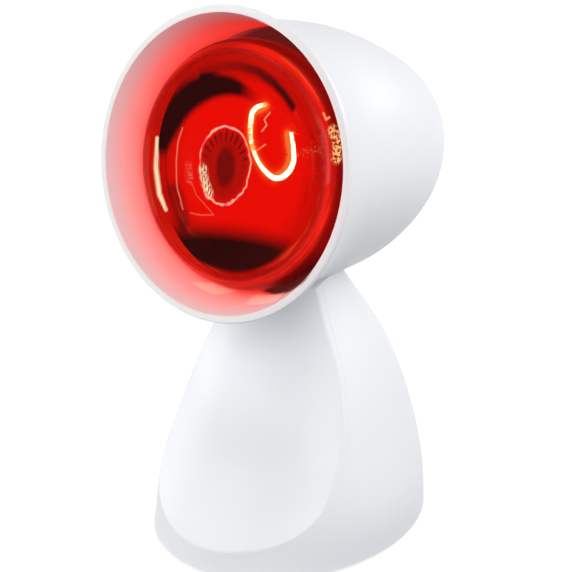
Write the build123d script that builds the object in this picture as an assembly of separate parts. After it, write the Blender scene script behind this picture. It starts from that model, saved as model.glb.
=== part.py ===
"""Infrared heat lamp: a tilting bell-shaped head with a red heat bulb on a moulded pedestal.

Millimetres, +Z up, front towards -Y. The pedestal's centre line is the design origin; every node is
moved by frame_shift when it is written, so that the part's origin lies on the resting plane under the
middle of the whole lamp.
"""
import os
from math import asin, cos, radians, sin, sqrt, tan

from build123d import *

os.makedirs("parts", exist_ok=True)

# ---- where the part's frame lies ---------------------------------------------------------------
frame_shift = -9.9            # along Y, from the pedestal's centre line to the part's origin

# ---- clearances ----------------------------------------------------------------------------------
seam = 0.15                   # visible joint between two mouldings of one body
seat_clearance = 0.1          # radial, round a piece that drops into a recess
running_clearance = 0.05      # radial, axle in its holes
side_clearance = 0.3          # between moving and fixed pieces
joint_clearance = 0.6         # between the pedestal's dome and the head's saddle

# ---- pedestal: elliptical sections, (height, half width, half depth, centre) -------------------------
skirt_gap = 1.5               # from the table to the housing's lower edge
pedestal_wall = 2.5
pedestal_sections = [
    (skirt_gap, 69.0, 83.0, -0.5),
    (11.0, 69.5, 80.0, 0.0),
    (42.0, 65.0, 75.0, 1.3),
    (64.0, 58.4, 69.0, 2.3),
    (85.0, 51.3, 60.5, 2.6),
    (106.0, 42.2, 50.0, 1.8),
    (121.0, 35.2, 40.5, 0.0),
    (136.0, 29.0, 30.3, -2.2),
    (149.0, 25.0, 22.5, -4.0),
]
# front face: (height, position on the centre line, radius across)
facet_sections = [
    (0.0, -95.0, 100.0),
    (7.0, -85.0, 100.0),
    (13.4, -78.2, 100.0),
    (21.2, -71.0, 100.0),
    (35.7, -60.3, 100.0),
    (48.4, -52.9, 100.0),
    (66.3, -45.9, 83.0),
    (89.5, -35.6, 77.0),
    (103.5, -30.2, 71.0),
    (120.2, -24.6, 68.0),
    (132.1, -21.0, 66.0),
    (151.0, -14.6, 66.0),
]
facet_half_width = 65.0
crease_radius = 2.4           # rounding of the front panel's edge

# ---- hinge -----------------------------------------------------------------------------------------
pivot_y = 5.0
pivot_z = 103.0
dome_radius = 40.0            # top of the pedestal, about the hinge axis
tilt_each_way = 20.0
detent_step = 10.0
axle_radius = 3.0
yoke_half_span = 17.0         # outer faces of the yoke's arms
yoke_sheet = 2.0
arm_width = 7.0
arm_offset = 0.0              # of the arms behind the axle
arm_end_radius = 12.0
yoke_plate_width = 14.0
friction_washer = 0.9
friction_washer_radius = 8.0
bracket_sheet = 2.0
bracket_drop = 20.0           # from the axle down to the bracket's plate
bracket_half_width = 33.0
bracket_front = 20.0
bracket_rear = 22.0
cheek_half_width = 12.0
bolt_head_radius = 5.8
bolt_head_height = 4.0
nut_height = 5.0
detent_radius = 0.7
detent_sheet = 0.6
detent_width = 5.0

# ---- head ------------------------------------------------------------------------------------------
rest_tilt = 10.0              # front upwards
shade_radius = 75.0
axis_above_pivot = 91.13      # bell axis, with the head level
rim_ahead_of_pivot = 82.07    # rim plane, with the head level
shell_wall = 2.0
liner_gap = 0.5
liner_wall = 1.2
liner_depth = 40.0
lip_thickness = 2.2
lip_groove = 0.45
lip_groove_depth = 1.0
bell_length = 162.5
bell_tip_rise = 14.5
# front of the bell: (distance behind the rim, how much slimmer than the rim, rise of the centre)
bell_front_sections = [
    (0.0, 0.0, 0.0),
    (10.0, 3.1, 0.9),
    (20.0, 5.6, 2.0),
    (32.0, 7.7, 3.1),
    (48.0, 8.9, 4.1),
    (65.0, 10.1, 4.9),
    (82.0, 12.3, 5.2),
]
# rear of the bell: (distance ahead of its tip, radius, rise of the centre)
bell_rear_sections = [
    (64.5, 59.3, 5.5),
    (48.5, 54.6, 6.4),
    (34.5, 48.8, 7.8),
    (21.5, 40.9, 9.8),
    (11.5, 31.8, 11.8),
    (4.5, 21.4, 13.3),
    (1.0, 10.6, 14.2),
]
saddle_half_width = 30.0
saddle_wall = 2.0
saddle_pad_rise = 4.0         # yoke's seat above the saddle's hollow
vent_count = 5
vent_pitch = 8.0
vent_width = 3.0
vent_bottom = -16.0
vent_top = 8.0

# ---- heat bulb, distances behind the rim --------------------------------------------------------------
bulb_radius = 61.0
bulb_drop = 0.5
lens_apex = 7.2
lens_edge_radius = 12.0
lens_edge_depth = 20.5
bulb_seam_depth = 25.0
bulb_glass = 2.2
neck_depth = 99.0
neck_radius = 20.0
cap_start = 106.0
cap_end = 133.0
cap_radius = 13.1
cap_thread_pitch = 3.6
cap_thread_depth = 0.9
cap_sheet = 0.6
contact_end = 138.0
filament_depth = 48.0
filament_radius = 0.8
support_radius = 0.5
# filament bow seen from the front: (to the right, up)
filament_bow = [(10.3, 28.3), (17.7, 24.1), (18.7, 16.7), (17.7, 9.4), (12.4, -0.1), (6.1, -5.4), (-0.2, -7.5),
                (-6.5, -4.3), (-9.7, 2.0), (-9.1, 8.3), (-6.5, 16.7)]
filament_holds = (0, 3, 7, 10)   # points of the bow that the lead-in posts and hooks reach

# ---- lampholder ------------------------------------------------------------------------------------------
holder_radius = 20.5
holder_start = 112.0
holder_bore_radius = 14.8
holder_floor = 4.0
sleeve_wall = 0.8
contact_strip = 0.7
strap_thickness = 1.5
strap_width = 10.0
strap_half_length = 29.5
strap_boss_offset = 26.0
strap_boss_radius = 4.5
holder_screw_offset = 9.0
holder_terminal_offset = 11.0
terminal_height = 5.5

# ---- base, feet, posts ------------------------------------------------------------------------------------
base_bottom = 2.5
base_thickness = 3.0
foot_radius = 8.0
foot_recess = 0.8
foot_spread_x = 42.0
foot_front_y = -48.0
foot_rear_y = 46.0
post_radius = 4.5
front_post = (58.0, -25.0)
rear_post = (30.0, 62.0)
cover_post_x = 40.0
cover_post_z = 50.0
cover_rib_y = -20.0
cover_rib_thickness = 2.5
cover_rib_height = 16.0

# ---- screws --------------------------------------------------------------------------------------------------
screw_radius = 1.6
screw_head_radius = 3.2
screw_head_height = 2.0
screw_length = 10.0
drive_radius = 1.3
drive_depth = 1.2

# ---- cord inlet -------------------------------------------------------------------------------------------------
inlet_z = 18.0
inlet_bore = 3.4
inlet_neck_radius = 5.2
inlet_flange_radius = 8.0
inlet_flange = 2.0
inlet_wall = 3.5
inlet_seat_y = 77.0

# ---- rocker switch ---------------------------------------------------------------------------------------------------
switch_z = 46.0
switch_seat_y = 72.5
switch_panel = 2.5
switch_half_width = 10.5
switch_half_height = 7.5
switch_bezel = 1.5
switch_body_depth = 13.0
switch_body_inset = 1.0
recess_margin = 2.5
rocker_half_width = 7.8
rocker_half_height = 5.0
rocker_swing = 12.0
rocker_pivot_depth = 3.0
rocker_rise = 2.6
trunnion_radius = 1.0
trunnion_reach = 8.9          # each way from the middle, into the housing's side walls
blade_length = 8.0
blade_thickness = 0.8
blade_width = 4.8
blade_offset = 4.5

# ---- terminal block and wiring --------------------------------------------------------------------------------------
block_half_width = 10.0
block_depth = 18.0
block_height = 14.0
block_y = 40.0
block_way_offset = 5.0
insert_radius = 2.6
insert_bore = 1.6
lead_radius = 1.1


# ====== helpers ======================================================================================
def cylinder_x(radius, x_low, x_high, y=pivot_y, z=pivot_z):
    """Cylinder along X between two places."""
    blank = Cylinder(radius, x_high - x_low, rotation=(0, 90, 0))
    return Pos((x_low + x_high) / 2, y, z) * blank


def cylinder_y(radius, y_low, y_high, x, z):
    """Cylinder along Y between two places."""
    blank = Cylinder(radius, y_high - y_low, rotation=(90, 0, 0))
    return Pos(x, (y_low + y_high) / 2, z) * blank


def cylinder_z(radius, z_low, z_high, x, y):
    """Cylinder along Z between two places."""
    return Pos(x, y, (z_low + z_high) / 2) * Cylinder(radius, z_high - z_low)


def block(x_low, x_high, y_low, y_high, z_low, z_high):
    """Box between two corners."""
    middle = Pos((x_low + x_high) / 2, (y_low + y_high) / 2, (z_low + z_high) / 2)
    return middle * Box(x_high - x_low, y_high - y_low, z_high - z_low)


def revolved(points):
    """Solid turned about the Z axis from a closed outline of (radius, height) points."""
    outline = Plane.XZ * Polyline([(r, z) for r, z in points], close=True)
    return revolve(make_face(outline), Axis.Z)


def tube(points, radius, bend):
    """Round wire along a polyline with equal bends."""
    path = FilletPolyline(points, radius=bend)
    section = Plane(path @ 0, z_dir=path % 0) * Circle(radius)
    return sweep(section, path)


def pan_screw(length=screw_length):
    """Screw along +Z: the thread's end at the top, the head under z = 0."""
    shank = cylinder_z(screw_radius, 0, length, 0, 0)
    head = cylinder_z(screw_head_radius, -screw_head_height, 0, 0, 0)
    drive = cylinder_z(drive_radius, -screw_head_height, drive_depth - screw_head_height, 0, 0)
    return shank + head - drive


def save(node, *solids):
    """Write one node, moved into the part's frame."""
    moved = [solid.moved(Location((0, frame_shift, 0))) for piece in solids for solid in piece.solids()]
    shape = moved[0] if len(moved) == 1 else Compound(children=moved)
    export_step(shape, f"parts/{node}.step")


# ====== pedestal's surfaces =========================================================================
def pedestal_volume(inset):
    """Volume inside the pedestal's side wall, its surface moved in by inset."""
    rings = []
    for height, half_width, half_depth, centre in pedestal_sections:
        rings.append(Pos(0, centre, height) * Ellipse(half_width - inset, half_depth - inset))
    return loft(rings)


def ahead_of_facet(offset):
    """Everything in front of the front face, the face moved back by offset."""
    far = -140.0
    rings = []
    for height, front, radius in facet_sections:
        sag = radius - sqrt(radius ** 2 - facet_half_width ** 2)
        centre = (0, front + offset)
        left = (-facet_half_width, front + sag + offset)
        right = (facet_half_width, front + sag + offset)
        arc = ThreePointArc(left, centre, right)
        rest = Polyline([right, (facet_half_width, far), (-facet_half_width, far), left])
        rings.append(Pos(0, 0, height) * make_face([arc, rest]))
    return loft(rings)


def dome_keep(radius):
    """Space the pedestal may fill: everything below the axle's level, and the dome about the axle."""
    reach = 2 * dome_radius + 60
    below = block(-reach, reach, -reach, reach, -10, pivot_z + dome_radius / 2)
    return below + cylinder_x(radius, -reach, reach)


outer_volume = pedestal_volume(0) & dome_keep(dome_radius)
inner_volume = pedestal_volume(pedestal_wall) & dome_keep(dome_radius - pedestal_wall)
front_of_face = ahead_of_facet(0)
front_of_back = ahead_of_facet(pedestal_wall)
front_of_seam = ahead_of_facet(pedestal_wall + seam)
base_top = base_bottom + base_thickness
bracket_top_z = pivot_z - bracket_drop
bracket_posts = [(sx * 27.0, pivot_y + dy) for sx in (-1, 1) for dy in (-12.0, 14.0)]
base_posts = [(sx * x, y) for sx in (-1, 1) for x, y in (front_post, rear_post)]
feet = [(sx * foot_spread_x, y) for sx in (-1, 1) for y in (foot_front_y, foot_rear_y)]
rib_front = cover_rib_y - cover_rib_thickness
switch_low_z = switch_z - switch_half_height
switch_high_z = switch_z + switch_half_height
slit_outer = yoke_half_span + side_clearance + 0.1
slit_inner = yoke_half_span - yoke_sheet - 2 * lead_radius - 1.1
slit_swing = (dome_radius + 1.5) * sin(radians(tilt_each_way)) + arm_width / 2 / cos(radians(tilt_each_way)) + 0.4


def screw_hole(depth=screw_length + 1):
    """Hole for a screw's thread, from z = 0 upwards."""
    return cylinder_z(screw_radius + seat_clearance, -0.1, depth, 0, 0)


# ====== pedestal pieces ===============================================================================
def rear_housing():
    """Side, rear and skirt wall of the pedestal with its posts, ribs, switch recess and inlet."""
    solid_body = outer_volume - front_of_seam
    shell = solid_body - inner_volume
    additions = []
    for x, y in base_posts:
        additions.append(cylinder_z(post_radius, base_top, 62, x, y))
    for x, y in bracket_posts:
        additions.append(cylinder_z(post_radius, bracket_top_z, pivot_z + dome_radius, x, y))
    for sx in (-1, 1):
        low, high = sorted((sx * (cover_post_x - 6), sx * 62))
        half = cover_rib_height / 2
        additions.append(block(low, high, rib_front, cover_rib_y, cover_post_z - half, cover_post_z + half))
    pad = switch_half_width + recess_margin + 2
    additions.append(block(-pad, pad, switch_seat_y - switch_panel, 90,
                           switch_low_z - recess_margin - 2, switch_high_z + recess_margin + 2))
    additions.append(cylinder_y(inlet_flange_radius + 2.5, inlet_seat_y - inlet_wall, 90, 0, inlet_z))
    for piece in additions:
        shell += piece & solid_body
    recess = switch_half_width + recess_margin
    shell -= block(-recess, recess, switch_seat_y, 90,
                   switch_low_z - recess_margin, switch_high_z + recess_margin)
    window_x = switch_half_width - switch_body_inset + seat_clearance
    window_z = switch_half_height - switch_body_inset + seat_clearance
    shell -= block(-window_x, window_x, 60, 90, switch_z - window_z, switch_z + window_z)
    shell -= cylinder_y(inlet_flange_radius + seat_clearance, inlet_seat_y, 95, 0, inlet_z)
    shell -= cylinder_y(inlet_neck_radius + seat_clearance, 60, 95, 0, inlet_z)
    for x, y in base_posts:
        shell -= Pos(x, y, base_top) * screw_hole()
    for x, y in bracket_posts:
        shell -= Pos(x, y, bracket_top_z) * screw_hole()
    for sx in (-1, 1):
        shell -= cylinder_y(screw_radius + seat_clearance, rib_front - 1, cover_rib_y + 1,
                            sx * cover_post_x, cover_post_z)
        low, high = sorted((sx * slit_inner, sx * slit_outer))
        shell -= block(low, high, pivot_y + arm_offset - slit_swing, pivot_y + arm_offset + slit_swing,
                       pivot_z + dome_radius / 2, pivot_z + dome_radius + 5)
    return shell


def front_cover():
    """Teardrop front panel with its two screw posts."""
    panel = (outer_volume & front_of_back) - front_of_face
    face = panel.faces().sort_by(SortBy.AREA)[-2:].sort_by(Axis.Y)[0]
    panel = fillet(face.edges(), crease_radius)
    for sx in (-1, 1):
        post = cylinder_y(post_radius, -75, rib_front, sx * cover_post_x, cover_post_z)
        panel += (post & outer_volume) - front_of_face
    for sx in (-1, 1):
        hole = cylinder_y(screw_radius + seat_clearance, rib_front - 8.5, rib_front + 1,
                          sx * cover_post_x, cover_post_z)
        panel -= hole
    return panel


def cover_screws():
    """Two screws through the ribs into the cover's posts, driven from behind."""
    return [Pos(sx * cover_post_x, cover_rib_y, cover_post_z) * Rot(90, 0, 0) * pan_screw(screw_length)
            for sx in (-1, 1)]


def base_plate():
    """Bottom plate with foot recesses, screw holes and the terminal block's pilot hole."""
    slab = block(-100, 100, -120, 120, base_bottom, base_top)
    plate = pedestal_volume(pedestal_wall + seam) & slab
    plate -= ahead_of_facet(pedestal_wall + 2 * seam)
    for x, y in feet:
        plate -= cylinder_z(foot_radius + seat_clearance, base_bottom - 1, base_bottom + foot_recess, x, y)
    for x, y in base_posts:
        plate -= cylinder_z(screw_radius + 0.2, base_bottom - 1, base_top + 1, x, y)
        plate -= cylinder_z(screw_head_radius + 0.3, base_bottom - 1, base_bottom + 1.2, x, y)
    return plate


def rubber_feet():
    """Four round pads under the base plate."""
    pads = []
    for x, y in feet:
        pad = cylinder_z(foot_radius, 0, base_bottom + foot_recess, x, y)
        pads.append(fillet(pad.edges().group_by(Axis.Z)[0], 0.8))
    return pads


def base_screws():
    """Four screws through the base plate into the housing's posts."""
    return [Pos(x, y, base_bottom + 1.2) * Rot(0, 0, 0) * pan_screw() for x, y in base_posts]


def cord_bush():
    """Snap-in bush of the cord inlet."""
    flange = cylinder_y(inlet_flange_radius, inlet_seat_y, inlet_seat_y + inlet_flange, 0, inlet_z)
    flange = fillet(flange.edges().group_by(Axis.Y)[-1], 0.8)
    neck = cylinder_y(inlet_neck_radius, inlet_seat_y - inlet_wall - 2, inlet_seat_y, 0, inlet_z)
    lip = cylinder_y(inlet_neck_radius + 0.9, inlet_seat_y - inlet_wall - 1.6, inlet_seat_y - inlet_wall - seam,
                     0, inlet_z)
    bore = cylinder_y(inlet_bore, inlet_seat_y - 12, inlet_seat_y + 12, 0, inlet_z)
    return flange + neck + lip - bore


# ====== switch ==========================================================================================
rocker_axis_y = switch_seat_y + switch_bezel - rocker_pivot_depth


def switch_housing():
    """Body and bezel of the rocker switch."""
    front = switch_seat_y + switch_bezel
    bezel = block(-switch_half_width, switch_half_width, switch_seat_y, front, switch_low_z, switch_high_z)
    bezel = fillet(bezel.edges().group_by(Axis.Y)[-1], 0.6)
    half_x = switch_half_width - switch_body_inset
    half_z = switch_half_height - switch_body_inset
    body = block(-half_x, half_x, switch_seat_y - switch_body_depth, switch_seat_y,
                 switch_z - half_z, switch_z + half_z)
    open_x = rocker_half_width + side_clearance
    open_z = rocker_half_height + side_clearance + 0.2
    well = block(-open_x, open_x, rocker_axis_y - 5.5, front + 1, switch_z - open_z, switch_z + open_z)
    sockets = cylinder_x(trunnion_radius + running_clearance, -trunnion_reach - 0.2, trunnion_reach + 0.2,
                         rocker_axis_y, switch_z)
    return bezel + body - well - sockets


def switch_rocker():
    """Rocker key, resting with its lower half pressed in."""
    front = rocker_axis_y + rocker_pivot_depth + rocker_rise
    half = rocker_half_height
    outline = Polyline([(rocker_axis_y - 2.2, -1.8), (rocker_axis_y + 1.0, -half), (front, -half + 0.3),
                        (front - 1.0, 0), (front, half - 0.3), (rocker_axis_y + 1.0, half),
                        (rocker_axis_y - 2.2, 1.8)], close=True)
    key = extrude(Plane.YZ * make_face(outline), rocker_half_width, both=True)
    key = key.moved(Location((0, 0, switch_z)))
    ridge_edges = key.edges().filter_by(Axis.X).group_by(Axis.Y)[-1]
    key = fillet(ridge_edges, 0.4)
    key += cylinder_x(trunnion_radius, -trunnion_reach, trunnion_reach, rocker_axis_y, switch_z)
    rest = Rot(-rocker_swing / 2, 0, 0)
    return Pos(0, rocker_axis_y, switch_z) * rest * Pos(0, -rocker_axis_y, -switch_z) * key


def switch_terminals():
    """Two blade terminals behind the switch."""
    rear = switch_seat_y - switch_body_depth
    blades = []
    for sx in (-1, 1):
        x = sx * blade_offset
        blades.append(block(x - blade_width / 2, x + blade_width / 2, rear - blade_length, rear,
                            switch_z - blade_thickness / 2, switch_z + blade_thickness / 2))
    return blades


# ====== hinge ===========================================================================================
arm_inner = yoke_half_span - yoke_sheet
washer_inner = yoke_half_span + side_clearance
cheek_inner = washer_inner + friction_washer
cheek_outer = cheek_inner + bracket_sheet
arm_y = pivot_y + arm_offset
saddle_radius = dome_radius + joint_clearance
yoke_plate_z = pivot_z + saddle_radius + saddle_pad_rise


def hinge_bracket():
    """Steel U-bracket: two cheeks on a plate that is screwed up to the housing's posts."""
    plate = block(-bracket_half_width, bracket_half_width, pivot_y - bracket_front, pivot_y + bracket_rear,
                  bracket_top_z - bracket_sheet, bracket_top_z)
    bracket = plate
    for sx in (-1, 1):
        low, high = sorted((sx * cheek_inner, sx * cheek_outer))
        bracket += cylinder_x(cheek_half_width, low, high)
        bracket += block(low, high, pivot_y - cheek_half_width, pivot_y + cheek_half_width,
                         bracket_top_z - bracket_sheet, pivot_z)
    bracket -= cylinder_x(axle_radius + running_clearance, -60, 60)
    for x, y in bracket_posts:
        bracket -= cylinder_z(screw_radius + 0.2, bracket_top_z - 5, bracket_top_z + 1, x, y)
    bracket -= cylinder_z(6.0, bracket_top_z - 5, bracket_top_z + 1, 0, pivot_y + 14)
    return bracket


def bracket_screws():
    """Four screws up through the bracket's plate."""
    return [Pos(x, y, bracket_top_z - bracket_sheet) * pan_screw() for x, y in bracket_posts]


def hexagon_x(radius, x_low, x_high):
    """Hexagonal prism along X on the axle's line."""
    face = Plane(origin=(x_low, pivot_y, pivot_z), z_dir=(1, 0, 0)) * RegularPolygon(radius, 6)
    return extrude(face, x_high - x_low)


def axle_bolt():
    """Hinge axle: hexagon bolt through both cheeks."""
    shank = cylinder_x(axle_radius, -cheek_outer, cheek_outer + nut_height + 1)
    return hexagon_x(bolt_head_radius, -cheek_outer - bolt_head_height, -cheek_outer) + shank


def axle_nut():
    """Self-locking nut on the axle."""
    nut = hexagon_x(bolt_head_radius, cheek_outer, cheek_outer + nut_height)
    return nut - cylinder_x(axle_radius + running_clearance, 0, 60)


def friction_washers():
    """Fibre washer inside each cheek."""
    rings = []
    for sx in (-1, 1):
        low, high = sorted((sx * washer_inner, sx * cheek_inner))
        rings.append(cylinder_x(friction_washer_radius, low, high)
                     - cylinder_x(axle_radius + running_clearance, -60, 60))
    return rings


def detent_spring():
    """Leaf with a rounded nose under the yoke's notched arm."""
    x_mid = yoke_half_span - yoke_sheet / 2
    low, high = x_mid - detent_width / 2 - 4, x_mid + detent_width / 2 - 1.2
    nose_z = pivot_z - arm_end_radius - side_clearance - detent_radius
    nose = cylinder_x(detent_radius, low, high, pivot_y, nose_z)
    leaf = block(low, high, pivot_y - 9, pivot_y + detent_radius, nose_z - detent_radius - detent_sheet + 0.3,
                 nose_z - detent_radius + 0.3)
    leg = block(low, high, pivot_y - 9, pivot_y - 9 + detent_sheet, bracket_top_z, nose_z - detent_radius + 0.3)
    foot = block(low, high, pivot_y - 9, pivot_y - 2, bracket_top_z, bracket_top_z + detent_sheet)
    return nose + leaf + leg + foot


def hinge_yoke():
    """Steel yoke that carries the head: a plate on the saddle's pad and two arms down to the axle."""
    plate = block(-yoke_half_span, yoke_half_span, arm_y - yoke_plate_width / 2, arm_y + yoke_plate_width / 2,
                  yoke_plate_z, yoke_plate_z + yoke_sheet)
    yoke = plate
    for sx in (-1, 1):
        low, high = sorted((sx * arm_inner, sx * yoke_half_span))
        yoke += block(low, high, arm_y - arm_width / 2, arm_y + arm_width / 2, pivot_z, yoke_plate_z + 1)
        yoke += cylinder_x(arm_end_radius, low, high)
    yoke -= cylinder_x(axle_radius + running_clearance, -60, 60)
    steps = int(tilt_each_way / detent_step)
    for step in range(-steps, steps + 1):
        angle = radians(step * detent_step)
        notch = cylinder_x(detent_radius, 0, 60, pivot_y + arm_end_radius * sin(angle),
                           pivot_z - arm_end_radius * cos(angle))
        yoke -= notch
    for sx in (-1, 1):
        yoke -= cylinder_z(screw_radius + 0.2, yoke_plate_z - 3, yoke_plate_z + 5, sx * 8, arm_y)
        yoke -= cylinder_z(lead_radius + 0.25, yoke_plate_z - 3, yoke_plate_z + 5, sx * lead_x, arm_y + 2)
    return yoke


def hinge_spacer():
    """Tube on the axle that holds the yoke's arms apart."""
    return cylinder_x(6.0, -arm_inner, arm_inner) - cylinder_x(axle_radius + running_clearance, -60, 60)


def yoke_screws():
    """Two screws down through the yoke's plate into the saddle's pad."""
    return [Pos(sx * 8, arm_y, yoke_plate_z + yoke_sheet) * Rot(180, 0, 0) * pan_screw(yoke_sheet + 3.4)
            for sx in (-1, 1)]


# ====== head ==============================================================================================
tilt = radians(rest_tilt)
rim_y = pivot_y - rim_ahead_of_pivot * cos(tilt) + axis_above_pivot * sin(tilt)
rim_z = pivot_z + rim_ahead_of_pivot * sin(tilt) + axis_above_pivot * cos(tilt)
# head's own axes: z backwards along the bell, y upwards, x to the left seen from behind
head = Plane(origin=(0, rim_y, rim_z), x_dir=(-1, 0, 0), z_dir=(0, cos(tilt), -sin(tilt))).location
bulb_axis = Pos(0, -bulb_drop, 0)


def bell_volume(inset):
    """Volume inside the bell in the head's own axes, its surface moved in by inset."""
    rings = []
    sections = [(depth, shade_radius - slimmer, rise) for depth, slimmer, rise in bell_front_sections]
    sections += [(bell_length - ahead, radius, rise) for ahead, radius, rise in bell_rear_sections]
    for depth, radius, rise in sections:
        if radius - inset > 5:
            shift = inset * (depth / bell_length) ** 4
            rings.append(Pos(0, rise, depth - shift) * Circle(radius - inset))
    tip = Vertex(0, bell_tip_rise, bell_length - inset)
    return loft(rings + [tip])


def head_slab(low, high):
    """Slab across the head between two depths."""
    return Pos(0, 0, (low + high) / 2) * Box(300, 300, high - low)


def head_shell():
    """Outer bell with the saddle for the pedestal's dome, holder bosses and rear vents."""
    whole = bell_volume(0)
    shell = (whole - bell_volume(shell_wall)) & head_slab(lip_thickness, bell_length + 5)
    collar = Circle(shade_radius + 5) - Pos(0, 0) * Circle(shade_radius - lip_groove_depth - 0.15)
    shell -= extrude(collar, lip_thickness + lip_groove)
    shell -= head_slab(-10, lip_thickness)
    strap_back = contact_end + 2 + holder_floor + strap_thickness
    for sx in (-1, 1):
        boss = cylinder_z(strap_boss_radius, strap_back, bell_length, sx * strap_boss_offset, -bulb_drop)
        boss -= cylinder_z(screw_radius + seat_clearance, strap_back - 1, strap_back + 4.5,
                           sx * strap_boss_offset, -bulb_drop)
        shell += boss & whole
    for index in range(vent_count):
        x = (index - (vent_count - 1) / 2) * vent_pitch
        slot = block(x - vent_width / 2, x + vent_width / 2, vent_bottom, vent_top, 138, bell_length + 5)
        shell -= slot
    shell = head * shell
    bell = head * whole
    wide = saddle_half_width + saddle_wall
    hollow = cylinder_x(saddle_radius, -saddle_half_width, saddle_half_width)
    shell -= cylinder_x(saddle_radius + saddle_wall, -wide, wide)
    saddle = cylinder_x(saddle_radius + saddle_wall, -wide, wide) & bell
    pad = block(-yoke_half_span - 3, yoke_half_span + 3, arm_y - yoke_plate_width / 2,
                arm_y + yoke_plate_width / 2, pivot_z + saddle_radius - 1, yoke_plate_z)
    saddle = saddle + pad - hollow
    for sx in (-1, 1):
        low, high = sorted((sx * (slit_inner + 0.8), sx * (yoke_half_span + seat_clearance)))
        saddle -= block(low, high, arm_y - arm_width / 2 - seat_clearance, arm_y + arm_width / 2 + seat_clearance,
                        pivot_z + dome_radius / 2, yoke_plate_z + 1)
        saddle -= cylinder_z(screw_radius + seat_clearance, pivot_z + saddle_radius + 0.3, yoke_plate_z + 1,
                             sx * 8, arm_y)
    return shell + saddle


def shade_liner():
    """White inner shade whose rim forms the lamp's lip."""
    outer = bell_volume(shell_wall + liner_gap)
    inner = bell_volume(shell_wall + liner_gap + liner_wall)
    liner = (outer - inner) & head_slab(-5, liner_depth)
    lip = cylinder_z(shade_radius, 0, lip_thickness, 0, 0)
    lip = fillet(lip.edges().group_by(Axis.Z)[0], 0.7) - inner
    return head * (liner + lip)


# ====== bulb ================================================================================================
def lens_outline(inset):
    """Half outline of the front glass from the axis to the seam, moved in by inset."""
    ring = bulb_radius - lens_edge_radius
    drop = lens_edge_depth - lens_apex
    dome = (ring ** 2 + drop ** 2 - lens_edge_radius ** 2) / (2 * (drop - lens_edge_radius))
    lean = asin(ring / (dome - lens_edge_radius))
    reach = lens_edge_radius - inset
    start = (0, lens_apex + inset)
    shoulder = (ring + reach * sin(lean), lens_edge_depth - reach * cos(lean))
    half = lean / 2
    on_dome = ((dome - inset) * sin(half), lens_apex + dome - (dome - inset) * cos(half))
    on_edge = (ring + reach * sin(radians(50)), lens_edge_depth - reach * cos(radians(50)))
    side = (ring + reach, lens_edge_depth)
    return start, on_dome, shoulder, on_edge, side


def bulb_lens():
    """Red front glass with its rounded edge."""
    a0, a1, a2, a3, a4 = lens_outline(0)
    b0, b1, b2, b3, b4 = lens_outline(bulb_glass)
    seam_out = (a4[0], bulb_seam_depth)
    seam_in = (b4[0], bulb_seam_depth)
    outline = [ThreePointArc(a0, a1, a2), ThreePointArc(a2, a3, a4), Line(a4, seam_out), Line(seam_out, seam_in),
               Line(seam_in, b4), ThreePointArc(b4, b3, b2), ThreePointArc(b2, b1, b0), Line(b0, a0)]
    return revolve(Plane.XZ * make_face(outline), Axis.Z)


def reflector_curve(inset):
    """Parabolic outline of the mirror from the seam to the neck, moved in by inset."""
    wide = bulb_radius - inset - 0.6
    slim = neck_radius - inset
    span = neck_depth - bulb_seam_depth
    points = []
    for step in range(7):
        share = step / 6
        radius = sqrt(wide ** 2 + (slim ** 2 - wide ** 2) * share)
        points.append((radius, bulb_seam_depth + span * share))
    return points


def bulb_reflector():
    """Silvered rear glass with the neck that enters the cap."""
    outside = reflector_curve(0)
    inside = reflector_curve(bulb_glass)
    neck_out = (cap_radius - 1.2, cap_start)
    neck_end = (cap_radius - 1.2, cap_start + 6)
    inner_end = (cap_radius - 1.2 - bulb_glass, cap_start + 6)
    neck_in = (cap_radius - 1.2 - bulb_glass, cap_start)
    outline = [Spline(outside), Line(outside[-1], neck_out), Line(neck_out, neck_end), Line(neck_end, inner_end),
               Line(inner_end, neck_in), Line(neck_in, inside[-1]), Spline(inside[::-1]),
               Line(inside[0], outside[0])]
    return revolve(Plane.XZ * make_face(outline), Axis.Z)


def thread_profile(radius, start, end):
    """Wavy outline of a rolled lamp thread."""
    points = [(radius - cap_thread_depth, start)]
    turns = int((end - start - 4) / cap_thread_pitch)
    for turn in range(turns):
        foot = start + 2 + turn * cap_thread_pitch
        points.append((radius - cap_thread_depth, foot))
        points.append((radius, foot + cap_thread_pitch * 0.35))
        points.append((radius, foot + cap_thread_pitch * 0.65))
    points.append((radius - cap_thread_depth, start + 2 + turns * cap_thread_pitch))
    points.append((radius - cap_thread_depth, end))
    return points


def bulb_cap():
    """Rolled screw cap with its skirt over the bulb's neck."""
    outside = [(neck_radius + 0.1, neck_depth + 1.0)]
    outside = [(cap_radius + 2.6, cap_start - 2.2), (cap_radius - 0.2, cap_start)] + thread_profile(
        cap_radius, cap_start + 0.5, cap_end)
    inner = cap_radius - cap_thread_depth - cap_sheet + 0.6
    inside = [(8.0, cap_end), (8.0, cap_end - cap_sheet), (inner, cap_end - cap_sheet),
              (inner, cap_start + 0.3), (cap_radius + 2.2, cap_start - 2.4)]
    return revolved(outside + inside)


def cap_insulator():
    """Glass button between the cap's shell and its centre contact."""
    return revolved([(0, cap_end), (8.5, cap_end), (7.0, cap_end + 2.5), (5.0, contact_end - 1.4),
                     (0, contact_end - 1.4)])


def bulb_contact():
    """Centre contact of the cap."""
    button = revolved([(0, contact_end - 1.4), (4.8, contact_end - 1.4), (4.4, contact_end), (0, contact_end)])
    return button


def filament():
    """Tungsten bow, drawn as a solid of the coil's outside."""
    path = Spline([(x, y, filament_depth) for x, y in filament_bow])
    return sweep(Plane(path @ 0, z_dir=path % 0) * Circle(filament_radius), path)


def rod(start, end, radius):
    """Straight wire between two points."""
    line = Line(start, end)
    return sweep(Plane(line @ 0, z_dir=line % 0) * Circle(radius), line)


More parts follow.
